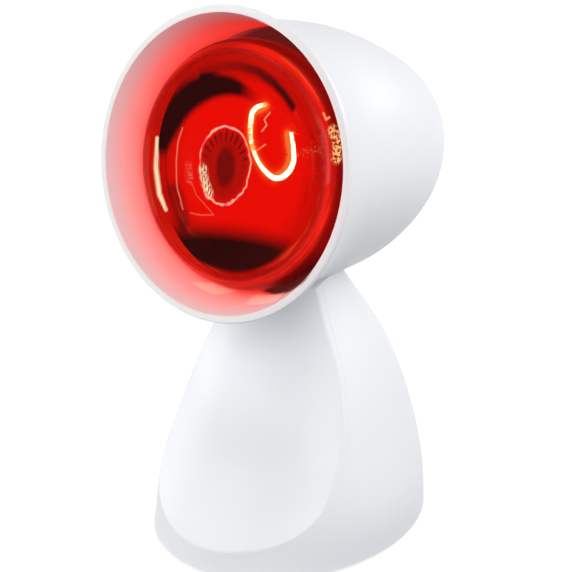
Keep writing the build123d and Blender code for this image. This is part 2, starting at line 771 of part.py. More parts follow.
def filament_supports():
    """Two lead-in posts and two hooks that carry the filament, on a ceramic bead in the neck."""
    bead_depth = neck_depth - 6
    bead = cylinder_z(neck_radius - bulb_glass - 3.0, bead_depth, neck_depth + 1, 0, 0)
    gap = filament_radius + 0.35
    wires = []
    for hold, (px, py) in zip(filament_holds, ((6.0, 5.0), (7.0, -5.0), (-4.0, -6.0), (-6.0, 4.0))):
        x, y = filament_bow[hold]
        wires.append(rod((x, y, filament_depth + gap), (px, py, bead_depth), support_radius))
    carrier = bead
    for wire in wires:
        carrier += wire
    skirt = cylinder_z(cap_radius - 1.2 - bulb_glass - 0.1, neck_depth, cap_start + 4, 0, 0)
    return carrier + skirt


# ====== lampholder ==========================================================================================
holder_back = contact_end + 2 + holder_floor
holder_inside = contact_end + 2


def lampholder_body():
    """Ceramic lampholder."""
    body = cylinder_z(holder_radius, holder_start, holder_back, 0, 0)
    body = chamfer(body.edges().group_by(Axis.Z)[-1], 3.0)
    body -= cylinder_z(holder_bore_radius, holder_start - 1, holder_inside, 0, 0)
    for sx in (-1, 1):
        body -= cylinder_z(screw_radius + seat_clearance, holder_back - 3.5, holder_back + 1,
                           sx * holder_screw_offset, 0)
    return body


def lampholder_sleeve():
    """Brass screw shell inside the ceramic."""
    outer = holder_bore_radius
    shell = cylinder_z(outer, holder_start + 1, holder_inside, 0, 0)
    shell -= cylinder_z(outer - sleeve_wall, holder_start, holder_inside - 1.0, 0, 0)
    return shell - cylinder_z(10.0, holder_inside - 2, holder_inside + 1, 0, 0)


def centre_contact():
    """Spring strip that meets the bulb's centre contact."""
    strip = block(-8, 8, -2.5, 2.5, contact_end, contact_end + contact_strip)
    foot = block(5, 8, -2.5, 2.5, contact_end, holder_inside)
    return strip + foot


def holder_terminals():
    """Two brass screw terminals behind the lampholder."""
    pieces = []
    for sy in (-1, 1):
        y = sy * holder_terminal_offset
        terminal = block(-3.5, 3.5, y - 2.8, y + 2.8, holder_back, holder_back + terminal_height)
        terminal -= cylinder_x(lead_radius + 0.2, -10, 10, y, holder_back + terminal_height / 2)
        pieces.append(terminal)
    return pieces


def holder_strap():
    """Steel strap that carries the lampholder on the bell's bosses."""
    strap = block(-strap_half_length, strap_half_length, -strap_width / 2, strap_width / 2,
                  holder_back, holder_back + strap_thickness)
    strap = fillet(strap.edges().filter_by(Axis.Z), 3.0)
    for x in (-strap_boss_offset, -holder_screw_offset, holder_screw_offset, strap_boss_offset):
        strap -= cylinder_z(screw_radius + 0.2, holder_back - 1, holder_back + 5, x, 0)
    return strap


def holder_screws():
    """Two short screws that hold the ceramic on the strap."""
    return [Pos(sx * holder_screw_offset, 0, holder_back + strap_thickness) * Rot(180, 0, 0) * pan_screw(4.5)
            for sx in (-1, 1)]


def strap_screws():
    """Two screws through the strap into the bell's bosses."""
    return [Pos(sx * strap_boss_offset, 0, holder_back) * pan_screw(5.0) for sx in (-1, 1)]


# ====== terminal block and wiring =========================================================================
def terminal_block():
    """Two-way terminal block on the base plate."""
    body = block(-block_half_width, block_half_width, block_y, block_y + block_depth,
                 base_top, base_top + block_height)
    body = chamfer(body.edges().group_by(Axis.Z)[-1], 0.8)
    axis_z = base_top + block_height / 2
    for sx in (-1, 1):
        x = sx * block_way_offset
        body -= cylinder_y(insert_radius, block_y - 1, block_y + block_depth + 1, x, axis_z)
        for share in (0.25, 0.75):
            body -= cylinder_z(2.0, axis_z, base_top + block_height + 1, x, block_y + block_depth * share)
    return body


def terminal_inserts():
    """Brass tubes of the terminal block."""
    axis_z = base_top + block_height / 2
    inserts = []
    for sx in (-1, 1):
        x = sx * block_way_offset
        tube_solid = cylinder_y(insert_radius, block_y, block_y + block_depth, x, axis_z)
        tube_solid -= cylinder_y(insert_bore, block_y - 1, block_y + block_depth + 1, x, axis_z)
        for share in (0.25, 0.75):
            tube_solid -= cylinder_z(1.4, axis_z, axis_z + 5, x, block_y + block_depth * share)
        inserts.append(tube_solid)
    return inserts


def terminal_screws():
    """Four clamping screws of the terminal block."""
    axis_z = base_top + block_height / 2
    screws = []
    for sx in (-1, 1):
        for share in (0.25, 0.75):
            y = block_y + block_depth * share
            screw = cylinder_z(1.3, axis_z + insert_bore, axis_z + 4.6, sx * block_way_offset, y)
            screw += cylinder_z(1.8, axis_z + insert_radius + 0.1, axis_z + 4.6, sx * block_way_offset, y)
            screws.append(screw)
    return screws


lead_x = arm_inner - lead_radius - 0.3


def pedestal_leads():
    """Wires from the terminal block to the switch and up to the hinge."""
    axis_z = base_top + block_height / 2
    blade_end = switch_seat_y - switch_body_depth - blade_length
    low = pivot_z - 26
    way = block_way_offset
    to_switch = tube([(way, block_y + 4, axis_z), (way, block_y - 6, axis_z), (way, block_y - 6, 34),
                      (blade_offset, blade_end - 8, switch_z), (blade_offset, blade_end, switch_z)],
                     lead_radius, 3.0)
    from_switch = tube([(-blade_offset, blade_end, switch_z), (-blade_offset, blade_end - 10, switch_z),
                        (-lead_x, 24, 66), (-lead_x, pivot_y + 3, low - 4), (-lead_x, pivot_y + 3, low)],
                       lead_radius, 3.0)
    from_block = tube([(-way, block_y + 4, axis_z), (-way, block_y - 10, axis_z), (lead_x, 16, 40),
                       (lead_x, pivot_y + 3, low - 8), (lead_x, pivot_y + 3, low)], lead_radius, 3.0)
    return [to_switch, from_switch, from_block]


def head_leads():
    """Wires from the lampholder's terminals down beside the yoke's arms to the hinge."""
    wires = []
    for side, reach in ((-1, holder_radius - 2.5), (1, holder_radius + 3.0)):
        height = side * holder_terminal_offset - bulb_drop
        terminal = (head * Pos(0, height, holder_back + terminal_height / 2)).position
        start = (side * 3.6, terminal.Y, terminal.Z)
        beside = (side * reach, terminal.Y, terminal.Z)
        over_rear = (side * 25.0, arm_y + 34, yoke_plate_z + 10)
        over_pad = (side * lead_x, arm_y + 2, yoke_plate_z + 6.5)
        bottom = (side * lead_x, arm_y + 2, pivot_z + 7.0)
        wires.append(tube([start, beside, over_rear, over_pad, bottom], lead_radius, 3.0))
    return wires


# ====== write every node ====================================================================================
def on_bulb(piece):
    """Move a piece from the bulb's own axes into the lamp."""
    return head * bulb_axis * piece


save("rear_housing", rear_housing())
save("front_cover", front_cover())
save("cover_screws", *cover_screws())
save("base_plate", base_plate())
save("rubber_feet", *rubber_feet())
save("base_screws", *base_screws())
save("cord_bush", cord_bush())
save("switch_housing", switch_housing())
save("switch_rocker", switch_rocker())
save("switch_terminals", *switch_terminals())
save("terminal_block", terminal_block())
save("terminal_inserts", *terminal_inserts())
save("terminal_screws", *terminal_screws())
save("pedestal_leads", *pedestal_leads())
save("hinge_bracket", hinge_bracket())
save("bracket_screws", *bracket_screws())
save("axle_bolt", axle_bolt())
save("axle_nut", axle_nut())
save("friction_washers", *friction_washers())
save("detent_spring", detent_spring())
save("hinge_yoke", hinge_yoke())
save("hinge_spacer", hinge_spacer())
save("yoke_screws", *yoke_screws())
save("head_shell", head_shell())
save("shade_liner", shade_liner())
save("head_leads", *head_leads())
save("bulb_lens", on_bulb(bulb_lens()))
save("bulb_reflector", on_bulb(bulb_reflector()))
save("bulb_cap", on_bulb(bulb_cap()))
save("cap_insulator", on_bulb(cap_insulator()))
save("bulb_contact", on_bulb(bulb_contact()))
save("filament", on_bulb(filament()))
save("filament_supports", on_bulb(filament_supports()))
save("lampholder_body", on_bulb(lampholder_body()))
save("lampholder_sleeve", on_bulb(lampholder_sleeve()))
save("centre_contact", on_bulb(centre_contact()))
save("holder_terminals", *[on_bulb(piece) for piece in holder_terminals()])
save("holder_strap", on_bulb(holder_strap()))
save("holder_screws", *[on_bulb(piece) for piece in holder_screws()])
save("strap_screws", *[on_bulb(piece) for piece in strap_screws()])
print("rim centre", round(rim_y + frame_shift, 3), round(rim_z, 3))
print("hinge axle", round(pivot_y + frame_shift, 3), pivot_z)
print("rocker axis", round(rocker_axis_y + frame_shift, 3), switch_z)
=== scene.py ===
from math import cos, pi, radians, sin

import bpy
from bpy.props import FloatProperty, FloatVectorProperty, PointerProperty
from bpy.types import Operator, Panel, PropertyGroup
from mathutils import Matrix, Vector


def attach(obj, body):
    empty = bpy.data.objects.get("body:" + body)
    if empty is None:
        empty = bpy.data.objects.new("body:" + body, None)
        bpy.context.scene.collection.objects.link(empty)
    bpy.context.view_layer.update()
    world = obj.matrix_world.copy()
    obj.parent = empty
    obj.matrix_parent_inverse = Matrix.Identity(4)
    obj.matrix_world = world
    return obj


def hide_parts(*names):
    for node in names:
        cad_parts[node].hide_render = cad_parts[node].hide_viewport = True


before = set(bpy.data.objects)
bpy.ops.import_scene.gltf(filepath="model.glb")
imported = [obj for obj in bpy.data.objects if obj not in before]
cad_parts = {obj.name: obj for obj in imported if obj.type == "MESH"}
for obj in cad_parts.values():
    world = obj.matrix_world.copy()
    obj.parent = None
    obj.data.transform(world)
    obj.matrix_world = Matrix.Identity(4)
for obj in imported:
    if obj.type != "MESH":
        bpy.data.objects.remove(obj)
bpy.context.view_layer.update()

bl_info = {
    "name": "Infrared heat lamp",
    "version": (1, 0, 0),
    "blender": (4, 5, 0),
    "location": "View3D > Sidebar > Heat Lamp",
    "description": "Finishes the heat lamp's solids, models its fine pieces and lights it in a studio",
    "category": "Object",
}

MM = 0.001
DEGREES = 180 / pi
BLACK = (0.0, 0.0, 0.0)
WHITE = (1.0, 1.0, 1.0)

# ---- finishes ----------------------------------------------------------------------------------------
WHITE_ROUGHNESS = 0.4
WHITE_COAT = 0.06
COAT_ROUGHNESS = 0.12
# how much the gloss changes from place to place
UNEVEN_GLOSS = 0.06
# name, colour, roughness, size of its waviness in millimetres, coat and nodes
MOULDINGS = (
    ("grey moulding", (0.62, 0.64, 0.67), 0.5, 0.8, 0.0, ("base_plate",)),
    ("black moulding", (0.03, 0.03, 0.033), 0.45, 0.6, 0.0, ("cord_bush", "switch_housing")),
    ("black key", (0.035, 0.035, 0.04), 0.22, 1.2, 0.3, ("switch_rocker",)),
    ("natural polyamide", (0.78, 0.76, 0.7), 0.5, 0.8, 0.0, ("terminal_block",)),
    ("soft rubber", (0.045, 0.045, 0.048), 0.8, 0.5, 0.0, ("rubber_feet",)),
    ("vulcanised fibre", (0.4, 0.16, 0.09), 0.7, 0.5, 0.0, ("friction_washers",)),
    ("silicone insulation", (0.85, 0.85, 0.82), 0.55, 0.8, 0.0, ("pedestal_leads", "head_leads")),
    ("glazed ceramic", (0.86, 0.85, 0.8), 0.2, 3.0, 0.6, ("lampholder_body",)),
    ("black cap glass", (0.02, 0.02, 0.03), 0.1, 2.0, 0.4, ("cap_insulator",)),
)
# name, colour, roughness, grains in a metre and nodes
METALS = (
    ("zinc plating", (0.62, 0.64, 0.66), 0.32, 900.0,
     ("cover_screws", "base_screws", "bracket_screws", "yoke_screws", "holder_screws", "strap_screws",
      "axle_bolt", "axle_nut", "hinge_bracket", "hinge_yoke", "hinge_spacer", "holder_strap")),
    ("spring steel", (0.4, 0.41, 0.44), 0.28, 900.0, ("detent_spring",)),
    ("drawn brass", (0.76, 0.56, 0.25), 0.26, 900.0,
     ("switch_terminals", "terminal_inserts", "terminal_screws", "holder_terminals", "lampholder_sleeve",
      "centre_contact")),
    ("rolled aluminium", (0.74, 0.74, 0.76), 0.3, 900.0, ("bulb_cap",)),
    ("dull solder", (0.55, 0.55, 0.57), 0.45, 500.0, ("bulb_contact",)),
)

# ---- bell --------------------------------------------------------------------------------------------
# depths behind the rim, in millimetres, between which its inside starts, and its painted red light fades
BELL_INSIDE_DEPTHS = (30.0, 36.0)
BELL_FADE_DEPTHS = (40.0, 58.0)
# how far a wall looks away from the axis, times its distance from it: below this range it is the inner wall
BELL_INNER_WALL = (-6.0, -1.0)
# colour of the inside, darkened with painted shade, and the bulb's painted red light on it, near and deep
BELL_INSIDE_PAINTED_SHADE = (0.1, 0.03, 0.03)
BELL_PAINTED_RED_LIGHT = (0.6, 0.03, 0.03)
BELL_PAINTED_DEEP_RED_LIGHT = (0.1, 0.008, 0.007)

# ---- shade -------------------------------------------------------------------------------------------
# All lengths are in millimetres, and angles in degrees about the bulb's axis, from the right towards the top.
# depths between which the bulb's light grows to its full strength, and how far that wanders
SHADE_LIGHT_DEPTHS = (-4.0, 27.0)
SHADE_LIGHT_WANDER = 6.0
# edge between lip and inside: radius at the rim, its loss and its axis' rise with each millimetre of depth,
# and the least radius, further in
LIP_RADIUS = 72.0
LIP_TAPER = 0.25
LIP_RISE = 0.095
LIP_LEAST_RADIUS = 63.8
LIP_EDGE = 0.3
# places across the lip between which painted shade greys it towards the right
LIP_SIDES = (-10.0, 60.0)
# the filament's two broad reflections: middle as (angle, depth), half width and soft edge in angle and in
# depth, and how its angle leans with depth and its depth with angle
SHADE_PATCHES = (
    ((-98.55, 18.5), (6.5, 1.2), (3.2, 1.4), 0.9, 0.0),
    ((-66.0, 13.0), (9.5, 1.5), (4.2, 1.2), 0.0, -0.33),
)
SHADE_PATCH_STRENGTH = 0.6
SHADE_PATCH_GLOW = (0.9, 0.22, 0.14)
# dark reflection low on the right: middle angle, half width and soft edge, a place on its front edge as
# (angle, depth), how that edge comes forward with each degree, its soft step and its strength
DARK_SIDE_TURN = -57.0
DARK_SIDE_WIDTH = (15.0, 13.0)
DARK_SIDE_FRONT = (-50.0, 7.0)
DARK_SIDE_LEAN = 0.7
DARK_SIDE_STEP = (-1.5, 2.5)
DARK_SIDE_STRENGTH = 0.96
DARK_SIDE_TONE = (0.04, 0.012, 0.012)
DARK_SIDE_GLOW = (0.03, 0.004, 0.003)
SHADE_LIP_GLOW = (0.1, 0.0, 0.0)

# ---- front glass -------------------------------------------------------------------------------------
# radii between which its clear face ends, and its smooth outer band starts
GLASS_FACE_END = (52.5, 56.5)
GLASS_BAND_START = (57.8, 59.6)
GLASS_FACE_GLOW = (0.02, 0.0, 0.0)
GLASS_RING_GLOW = (0.34, 0.003, 0.002)
GLASS_STREAK_REFLECTION = (0.72, 0.012, 0.004)
GLASS_GLINT_GLOW = (0.8, 0.1, 0.03)
GLASS_BAND_GLOW = (0.34, 0.004, 0.002)
GLASS_BAND_SHADE = (0.02, 0.001, 0.001)
# direction of the band's dark side, and the cosines of the way from it between which it darkens
GLASS_DARK_SIDE = radians(25)
GLASS_DARK_PART = (-0.55, 0.2)
# how much of what lies behind it its clear face hides, and how much more its edge does
GLASS_FACE_COVER = 0.03
GLASS_EDGE_COVER = 0.89
# depths between which the bright streak comes onto the glass
GLASS_STREAK_DEPTHS = (16.0, 18.0)
# painted gold glints at the right of its edge, as lines on the plane of the marks
GOLD_GLINT_SPECKS = [(49.0, 23.0), (52.4, 19.0), (52.4, 12.0)]
GOLD_GLINT_FLECK = [(42.5, 30.5), (44.3, 28.0), (46.0, 29.2)]
GOLD = (0.95, 0.55, 0.2)

# ---- marks in the mirror -----------------------------------------------------------------------------
# The marks are drawn on the plane of the bulb's widest ring, at (to the right, up) from its axis, in
# millimetres. What lies behind that plane shows on it further right and up, by these shares of the way.
SLANT = (0.757, 0.156)
# how far the silvering's waves shift the marks, and how many there are in a millimetre
WOBBLE = (2.6, 1.8)
WOBBLE_WAVES = 0.045
# radii between which the light turns into the darker outer part, with its streaky painted reflections
OUTER_PART = (36.0, 57.0)
OUTER_GLOW = (0.5, 0.004, 0.002)
OUTER_DARK_REFLECTION = (0.2, 0.003, 0.002)
OUTER_BRIGHT_REFLECTION = (0.8, 0.06, 0.02)
EDGE_STREAK = [(-56.2, 5.0), (-55.2, -10.0), (-51.6, -23.0), (-46.5, -30.0)]
# height at which that streak is widest, half of its widest stretch, and the soft rest of it
EDGE_STREAK_MIDDLE = -13.0
EDGE_STREAK_STRETCH = (2.0, 20.0)
# upper crescent: centre and radius of its line, the direction that its angles start from, and the angles
# between which it swells and thins. Across that line it is full up to the half width, and gone past its reach
# and the soft rest.
CRESCENT_CENTRE = (-12.0, -2.0)
CRESCENT_RADIUS = 40.5
CRESCENT_START = radians(150)
CRESCENT_SWELLS = (-104.0, -20.0)
CRESCENT_THINS = (2.0, 44.0)
CRESCENT_HALF = 4.4
CRESCENT_REACH = 6.2
CRESCENT_SOFT = 3.0
# lower crescent: centre and soft edge of its round lower side, place of the top of its shallow upper side,
# how that side sinks to the left and right, its soft edge, and the strength of it all
BOWL_CENTRE = (-6.0, 0.0)
BOWL_EDGE = (52.6, 56.5)
BOWL_TOP = 10.0
BOWL_SAG = 0.002
BOWL_TOP_EDGE = (28.0, 41.5)
BOWL_STRENGTH = 1.05
DARK_ARC = [(-31.0, 41.0), (-20.0, 46.3), (-8.0, 48.5), (3.0, 48.0), (13.0, 45.0), (21.0, 40.8), (28.0, 35.0)]
# places across between which that arc darkens
DARK_ARC_FADE = (-26.0, 22.0)
DARK_SMEAR = [(-43.0, -20.0), (-35.0, -34.0)]
# the neck's image: centre and radii of its ring and of its dark core, and the bright cluster on the left
NECK_CENTRE = (-12.0, -2.0)
NECK_RADII = (16.6, 20.2)
CORE_CENTRE = (-11.5, -3.0)
CORE_RADII = (6.2, 10.5)
NECK_CLUSTER = [(-26.0, -6.0), (-24.5, -12.0), (-20.5, -18.0)]
NECK_TICKS = 24
NECK_BROWN = (0.2, 0.004, 0.003)
NECK_TICK = (0.06, 0.002, 0.002)
NECK_CORE = (0.035, 0.002, 0.002)
NECK_GLINT = (0.5, 0.03, 0.02)
NECK_RING = (0.9, 0.45, 0.34)
# painted glints along the leads and the crumpled silvering, as thin lines: points, half width, soft edge,
# strength and colour
PINK = (0.83, 0.19, 0.12)
THIN_GLINT_LINES = (
    ([(-41.0, 13.0), (-43.2, 5.0), (-43.4, -6.0), (-41.0, -18.0), (-36.0, -28.5)], 0.12, 0.55, 0.85, PINK),
    ([(-31.0, -29.5), (-24.0, -29.8), (-17.0, -28.6)], 0.1, 0.5, 0.5, PINK),
    ([(-33.0, -14.0), (-28.5, -20.0), (-16.0, -28.5)], 0.1, 0.5, 0.35, PINK),
    ([(14.0, 30.0), (11.0, 26.0), (13.0, 23.5), (10.0, 19.5)], 0.1, 0.5, 0.7, (0.95, 0.5, 0.3)),
    ([(3.0, 13.5), (6.0, 11.0), (4.0, 8.5), (8.5, 9.5), (13.0, 13.0)], 0.1, 0.5, 0.7, (0.95, 0.4, 0.18)),
)
# painted glint specks along a line: points, half width, soft edge, step in the grain, strength and colour
GLINT_SPECKS = (
    ([(-35.5, -6.0), (-34.0, -13.0)], 1.0, 2.0, (0.5, 0.58), 0.6, (0.85, 0.28, 0.16)),
    ([(36.0, 12.0), (54.0, 17.0)], 0.8, 2.4, (0.56, 0.62), 0.5, (1.0, 0.5, 0.14)),
)
# the filament's halo: half width, soft edge, strength and colour
HALOES = (
    (0.5, 5.5, 0.6, (1.0, 0.055, 0.006)),
    (0.8, 2.2, 0.5, (1.0, 0.3, 0.05)),
)
# middle of the mirror's wall: its squared radius at a depth, and the loss of that with each millimetre
WALL_DEPTH = 25.0
WALL_SQUARE = 3516.5
WALL_TAPER = 42.69
WALL_STEP = (-5.0, 5.0)
MIRROR_INSIDE = (0.004, 0.0, 0.0)
SILVER = (0.82, 0.82, 0.84)

# ---- filament ----------------------------------------------------------------------------------------
# middle line of the filament from the front, about the bulb's axis: (to the right, up), in millimetres
BOW = [(-10.3, 28.3), (-17.7, 24.1), (-18.7, 16.7), (-17.7, 9.4), (-12.4, -0.1), (-6.1, -5.4), (0.2, -7.5),
       (6.5, -4.3), (9.7, 2.0), (9.1, 8.3), (6.5, 16.7)]
# width of its coil at each of those points, as a share of the coil's radius
SWELL = [0.85, 1.15, 1.2, 1.0, 0.85, 1.05, 1.2, 1.25, 1.2, 1.1, 0.8]
WIRE_SIDES = 6
STEPS_IN_TURN = 12
TUNGSTEN = (0.3, 0.1, 0.03)
TUNGSTEN_DULL_GLOW = (0.85, 0.14, 0.02)
TUNGSTEN_STRENGTH = 2.4

# ---- studio ------------------------------------------------------------------------------------------
# the camera's sensor, in millimetres, and from here on all lengths in metres
SENSOR_WIDTH = 36.0
CAMERA_RANGE = (0.01, 20.0)
EVEN_LIGHT = (0.93, 0.96, 1.0)
SOFT_BOX_WIDTH = 1.0
LIT_POINT = Vector((0, 0, 0.15))
TABLE_SIDES = 96
TABLE_RADIUS = 0.4
TABLE_DROP = 0.2 * MM
# the table's rings beyond that radius: growth over the ring before, and lift
TABLE_RINGS = ((2.0, 0.0), (2.0, 0.0), (1.9, 0.0), (1.3, 0.0), (1.1, 0.02), (1.05, 0.05), (1.02, 0.08))
# its own light where it is seen, and the distances from its middle between which that grows to white
TABLE_NEAR = (0.62, 0.62, 0.62)
TABLE_FAR = (1.02, 1.02, 1.02)
TABLE_FADE = (0.2, 1.6)
# what it shows there of the soft boxes and of the lamp's shadow
TABLE_LIT = (0.6, 0.6, 0.6)
# the two tones with which it lights the lamp
TABLE_TONES = ((0.14, 0.15, 0.17), (0.16, 0.17, 0.19))


# ---- settings ----------------------------------------------------------------------------------------
def colour(name, value, description):
    return FloatVectorProperty(name=name, description=description, default=value, size=3, subtype="COLOR",
                               min=0.0, max=1.0)


def length(name, millimetres, description):
    return FloatProperty(name=name, description=description, default=millimetres * MM, unit="LENGTH",
                         precision=5)


def power(name, watts, description):
    return FloatProperty(name=name, description="Power in watts of the " + description, default=watts,
                         min=0.0)


class LampSizes(PropertyGroup):
    rim_front: length("Rim front", -69.9, "Place of the rim's centre along Y")
    rim_height: length("Rim height", 207.0, "Height of the rim's centre")
    head_tilt: FloatProperty(name="Head tilt", description="Tilt of the bell's axis at rest",
                             default=radians(10.0), subtype="ANGLE")
    bulb_drop: length("Bulb drop", 0.5, "How far the bulb's axis lies under the bell's")
    lens_edge_depth: length("Lens edge depth", 20.5, "Depth of the widest ring of the front glass")
    filament_depth: length("Filament depth", 48.0, "Depth of the filament's plane behind the rim")
    coil_radius: length("Coil radius", 1.15, "Outside radius of the filament's coil")
    coil_pitch: length("Coil pitch", 0.85, "Distance between two turns of the filament")
    coil_wire: length("Coil wire", 0.3, "Radius of the filament's wire")
    peel_size: length("Moulding texture", 1.4, "Size of the white mouldings' fine waviness")


class LampColours(PropertyGroup):
    moulding: colour("Moulding", (0.875, 0.89, 0.915), "White housing, cover and bell")
    lip: colour("Lip", (0.95, 0.94, 0.93), "White lip of the shade")
    # the lip's right side, greyed with painted shade
    lip_painted_shade: colour("Lip on the right", (0.86, 0.82, 0.83), "White lip of the shade, on its right")
    shade: colour("Shade", (0.88, 0.84, 0.84), "White inside of the shade, behind its lip")
    # the inside beside the bulb, tinted with the bulb's painted red light
    shade_painted_red_light: colour("Shade near the bulb", (0.86, 0.34, 0.3), "White inside of the shade beside the bulb")
    shade_glow: colour("Shade glow", (0.62, 0.012, 0.008), "Red light on the shade beside the bulb")
    ruby: colour("Ruby glass", (0.2, 0.002, 0.001), "Front glass of the bulb")
    glow: colour("Bulb glow", (0.84, 0.004, 0.0015), "Light inside the bulb")
    shadow: colour("Bulb shadow", (0.01, 0.003, 0.003), "Dark reflections inside the bulb")
    cream: colour("Cream", (1.0, 0.82, 0.5), "Filament and bright reflections")


class StudioSettings(PropertyGroup):
    azimuth: FloatProperty(name="Azimuth", description="Camera's angle round the lamp", default=radians(36.5),
                           subtype="ANGLE")
    elevation: FloatProperty(name="Elevation", description="Camera's angle above the table",
                             default=radians(20.0), subtype="ANGLE")
    distance: length("Distance", 727.0, "From the camera to the point it looks at")
    aim_front: length("Aim front", -15.2, "Place along Y that the camera looks at")
    aim_height: length("Aim height", 130.8, "Height that the camera looks at")
    lens: FloatProperty(name="Lens", description="Focal length in millimetres", default=88.11, min=10.0)
    world_light: FloatProperty(name="World light", description="Strength of the even light", default=0.05,
                               min=0.0)
    key_light: power("Key light", 14.5, "soft box in front on the right")
    front_light: power("Front light", 7.5, "soft box in front on the left")
    left_light: power("Left light", 10.0, "soft box on the left")
    right_light: power("Right light", 5.0, "soft box low on the right")
    rear_light: power("Rear light", 13.0, "soft box behind on the right")


def settings():
    scene = bpy.context.scene
    return scene.lamp_sizes, scene.lamp_colours, scene.lamp_studio


# ---- material nodes ----------------------------------------------------------------------------------
class Value:
    """A number on a socket, written in plain arithmetic."""

    def __init__(self, paint, socket):
        self.paint = paint
        self.socket = socket

    def __add__(self, other):
        return self.paint.math("ADD", self, other)

    __radd__ = __add__

    def __mul__(self, other):
        return self.paint.math("MULTIPLY", self, other)

    __rmul__ = __mul__

    def __sub__(self, other):
        return self.paint.math("SUBTRACT", self, other)

    def __rsub__(self, other):
        return self.paint.math("SUBTRACT", other, self)

    def __truediv__(self, other):
        return self.paint.math("DIVIDE", self, other)

    def __neg__(self):
        return self.paint.math("MULTIPLY", self, -1.0)

    def __abs__(self):
        return self.paint.math("ABSOLUTE", self)


class Paint:
    """One material, or the world, and the nodes that make it."""

    def __init__(self, owner):
        self.owner = owner
        owner.use_nodes = True
        self.tree = owner.node_tree
        self.tree.nodes.clear()

    def node(self, kind, settings=None, inputs=None):
        made = self.tree.nodes.new(kind)
        for key, setting in (settings or {}).items():
            setattr(made, key, setting)
        for key, given in (inputs or {}).items():
            socket = made.inputs[key]
            given = given.socket if isinstance(given, Value) else given
            if isinstance(given, bpy.types.NodeSocket):
                self.tree.links.new(given, socket)
            elif socket.type == "RGBA":
                socket.default_value = (*given, 1.0)
            else:
                socket.default_value = given
        return made

    def math(self, operation, *values):
        made = self.node("ShaderNodeMath", {"operation": operation}, dict(enumerate(values)))
        return Value(self, made.outputs[0])

    def least(self, first, second):
        return self.math("MINIMUM", first, second)

    def greatest(self, first, second):
        return self.math("MAXIMUM", first, second)

    def distance(self, across, up):
        """Length of a way across and up."""
        return self.math("SQRT", across * across + up * up)

    def bearing(self, across, up):
        """Direction of a way across and up, in radians from the right towards the top."""
        return self.math("ARCTAN2", up, across)

    def smooth(self, value, low, high):
        """0 below low, 1 above high, and a soft step between them."""
        made = self.node("ShaderNodeMapRange", {"interpolation_type": "SMOOTHSTEP"},
                         {"Value": value, "From Min": low, "From Max": high})
        return Value(self, made.outputs[0])

    def near(self, value, half, soft):
        """1 where the value lies within half of nought, softly 0 beyond."""
        return 1 - self.smooth(abs(value), half, half + soft)

    def mix(self, factor, first, second):
        return self.node("ShaderNodeMix", {"data_type": "RGBA"}, {0: factor, 6: first, 7: second}).outputs[2]

    def place(self, location=(0, 0, 0), rotation=(0, 0, 0), scale=(1, 1, 1)):
        """Object coordinates, moved to a piece's own axes."""
        source = self.node("ShaderNodeTexCoord").outputs["Object"]
        return self.node("ShaderNodeMapping", {}, {"Vector": source, "Location": location,
                                                   "Rotation": rotation, "Scale": scale}).outputs[0]

    def split(self, vector):
        made = self.node("ShaderNodeSeparateXYZ", {}, {0: vector})
        return [Value(self, socket) for socket in made.outputs]

    def join(self, x, y, z):
        return self.node("ShaderNodeCombineXYZ", {}, {0: x, 1: y, 2: z}).outputs[0]

    def noise(self, vector, scale=1.0, detail=2.0, roughness=0.5):
        made = self.node("ShaderNodeTexNoise", {}, {"Vector": vector, "Scale": scale, "Detail": detail,
                                                    "Roughness": roughness})
        return Value(self, made.outputs[0])

    def waviness(self, size):
        """Normal of a moulding's skin, with waves of a size."""
        wave = self.noise(self.place(), 1.0 / size, detail=3.0)
        return self.bump(wave, strength=0.06, distance=0.2 * MM)

    def bump(self, height, strength, distance):
        return self.node("ShaderNodeBump", {}, {"Height": height, "Strength": strength,
                                                "Distance": distance}).outputs[0]

    def seen_ray(self):
        """1 for what is seen, straight, mirrored or through glass, and 0 for light on its way to the lamp."""
        path = self.node("ShaderNodeLightPath").outputs
        seen = self.greatest(path["Is Camera Ray"], path["Is Glossy Ray"])
        return self.greatest(seen, path["Is Transmission Ray"])

    def surface(self, sockets):
        shader = self.node("ShaderNodeBsdfPrincipled", {}, sockets)
        self.node("ShaderNodeOutputMaterial", {}, {0: shader.outputs[0]})
        return self.owner


class Picture:
    """Marks of light laid over one another on a plane, measured from the bulb's axis in millimetres."""

    def __init__(self, paint, across, up, light):
        self.paint = paint
        self.across = across
        self.up = up
        self.light = light

    def lay(self, mask, light):
        """Covers what is there with light, as much as the mask says."""
        self.light = self.paint.mix(mask, self.light, light)

    def way_from(self, point):
        return self.across - point[0], self.up - point[1]

    def stroke(self, start, end, half, soft):
        """1 on a straight stroke between two points, softly 0 beside it."""
        run, rise = end[0] - start[0], end[1] - start[1]
        across, up = self.way_from(start)
        along = (across * run + up * rise) / (run * run + rise * rise)
        along = self.paint.least(self.paint.greatest(along, 0.0), 1.0)
        return self.paint.near(self.paint.distance(across - along * run, up - along * rise), half, soft)

    def line(self, points, half, soft):
        """The strongest of the strokes from point to point."""
        strongest, *others = [self.stroke(*ends, half, soft) for ends in zip(points, points[1:])]
        for other in others:
            strongest = self.paint.greatest(strongest, other)
        return strongest

    def oval(self, centre, radii):
        """Ways across and up from an oval's centre, as shares of its radii."""
        across, up = self.way_from(centre)
        return across / radii[0], up / radii[1]

    def grain(self, waves_across, waves_up, seed, detail=2.0, roughness=0.5):
        """Noise with so many waves in a millimetre."""
        place = self.paint.join(self.across * waves_across, self.up * waves_up, seed)
        return self.paint.noise(place, detail=detail, roughness=roughness)

    def reflection_streaks(self):
        """Fine rings and streaks round the axis, for painted reflections."""
        radius = self.paint.distance(self.across, self.up)
        place = self.paint.join(self.across / radius * 0.9, self.up / radius * 0.9, radius * 0.33)
        return self.paint.noise(place, detail=4.0, roughness=0.62)


def new_paint(name):
    return Paint(bpy.data.materials.new(name))


def finish_nodes(material, *names):
    """Gives CAD nodes their finish."""
    for name in names:
        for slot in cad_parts[name].material_slots:
            slot.material = material


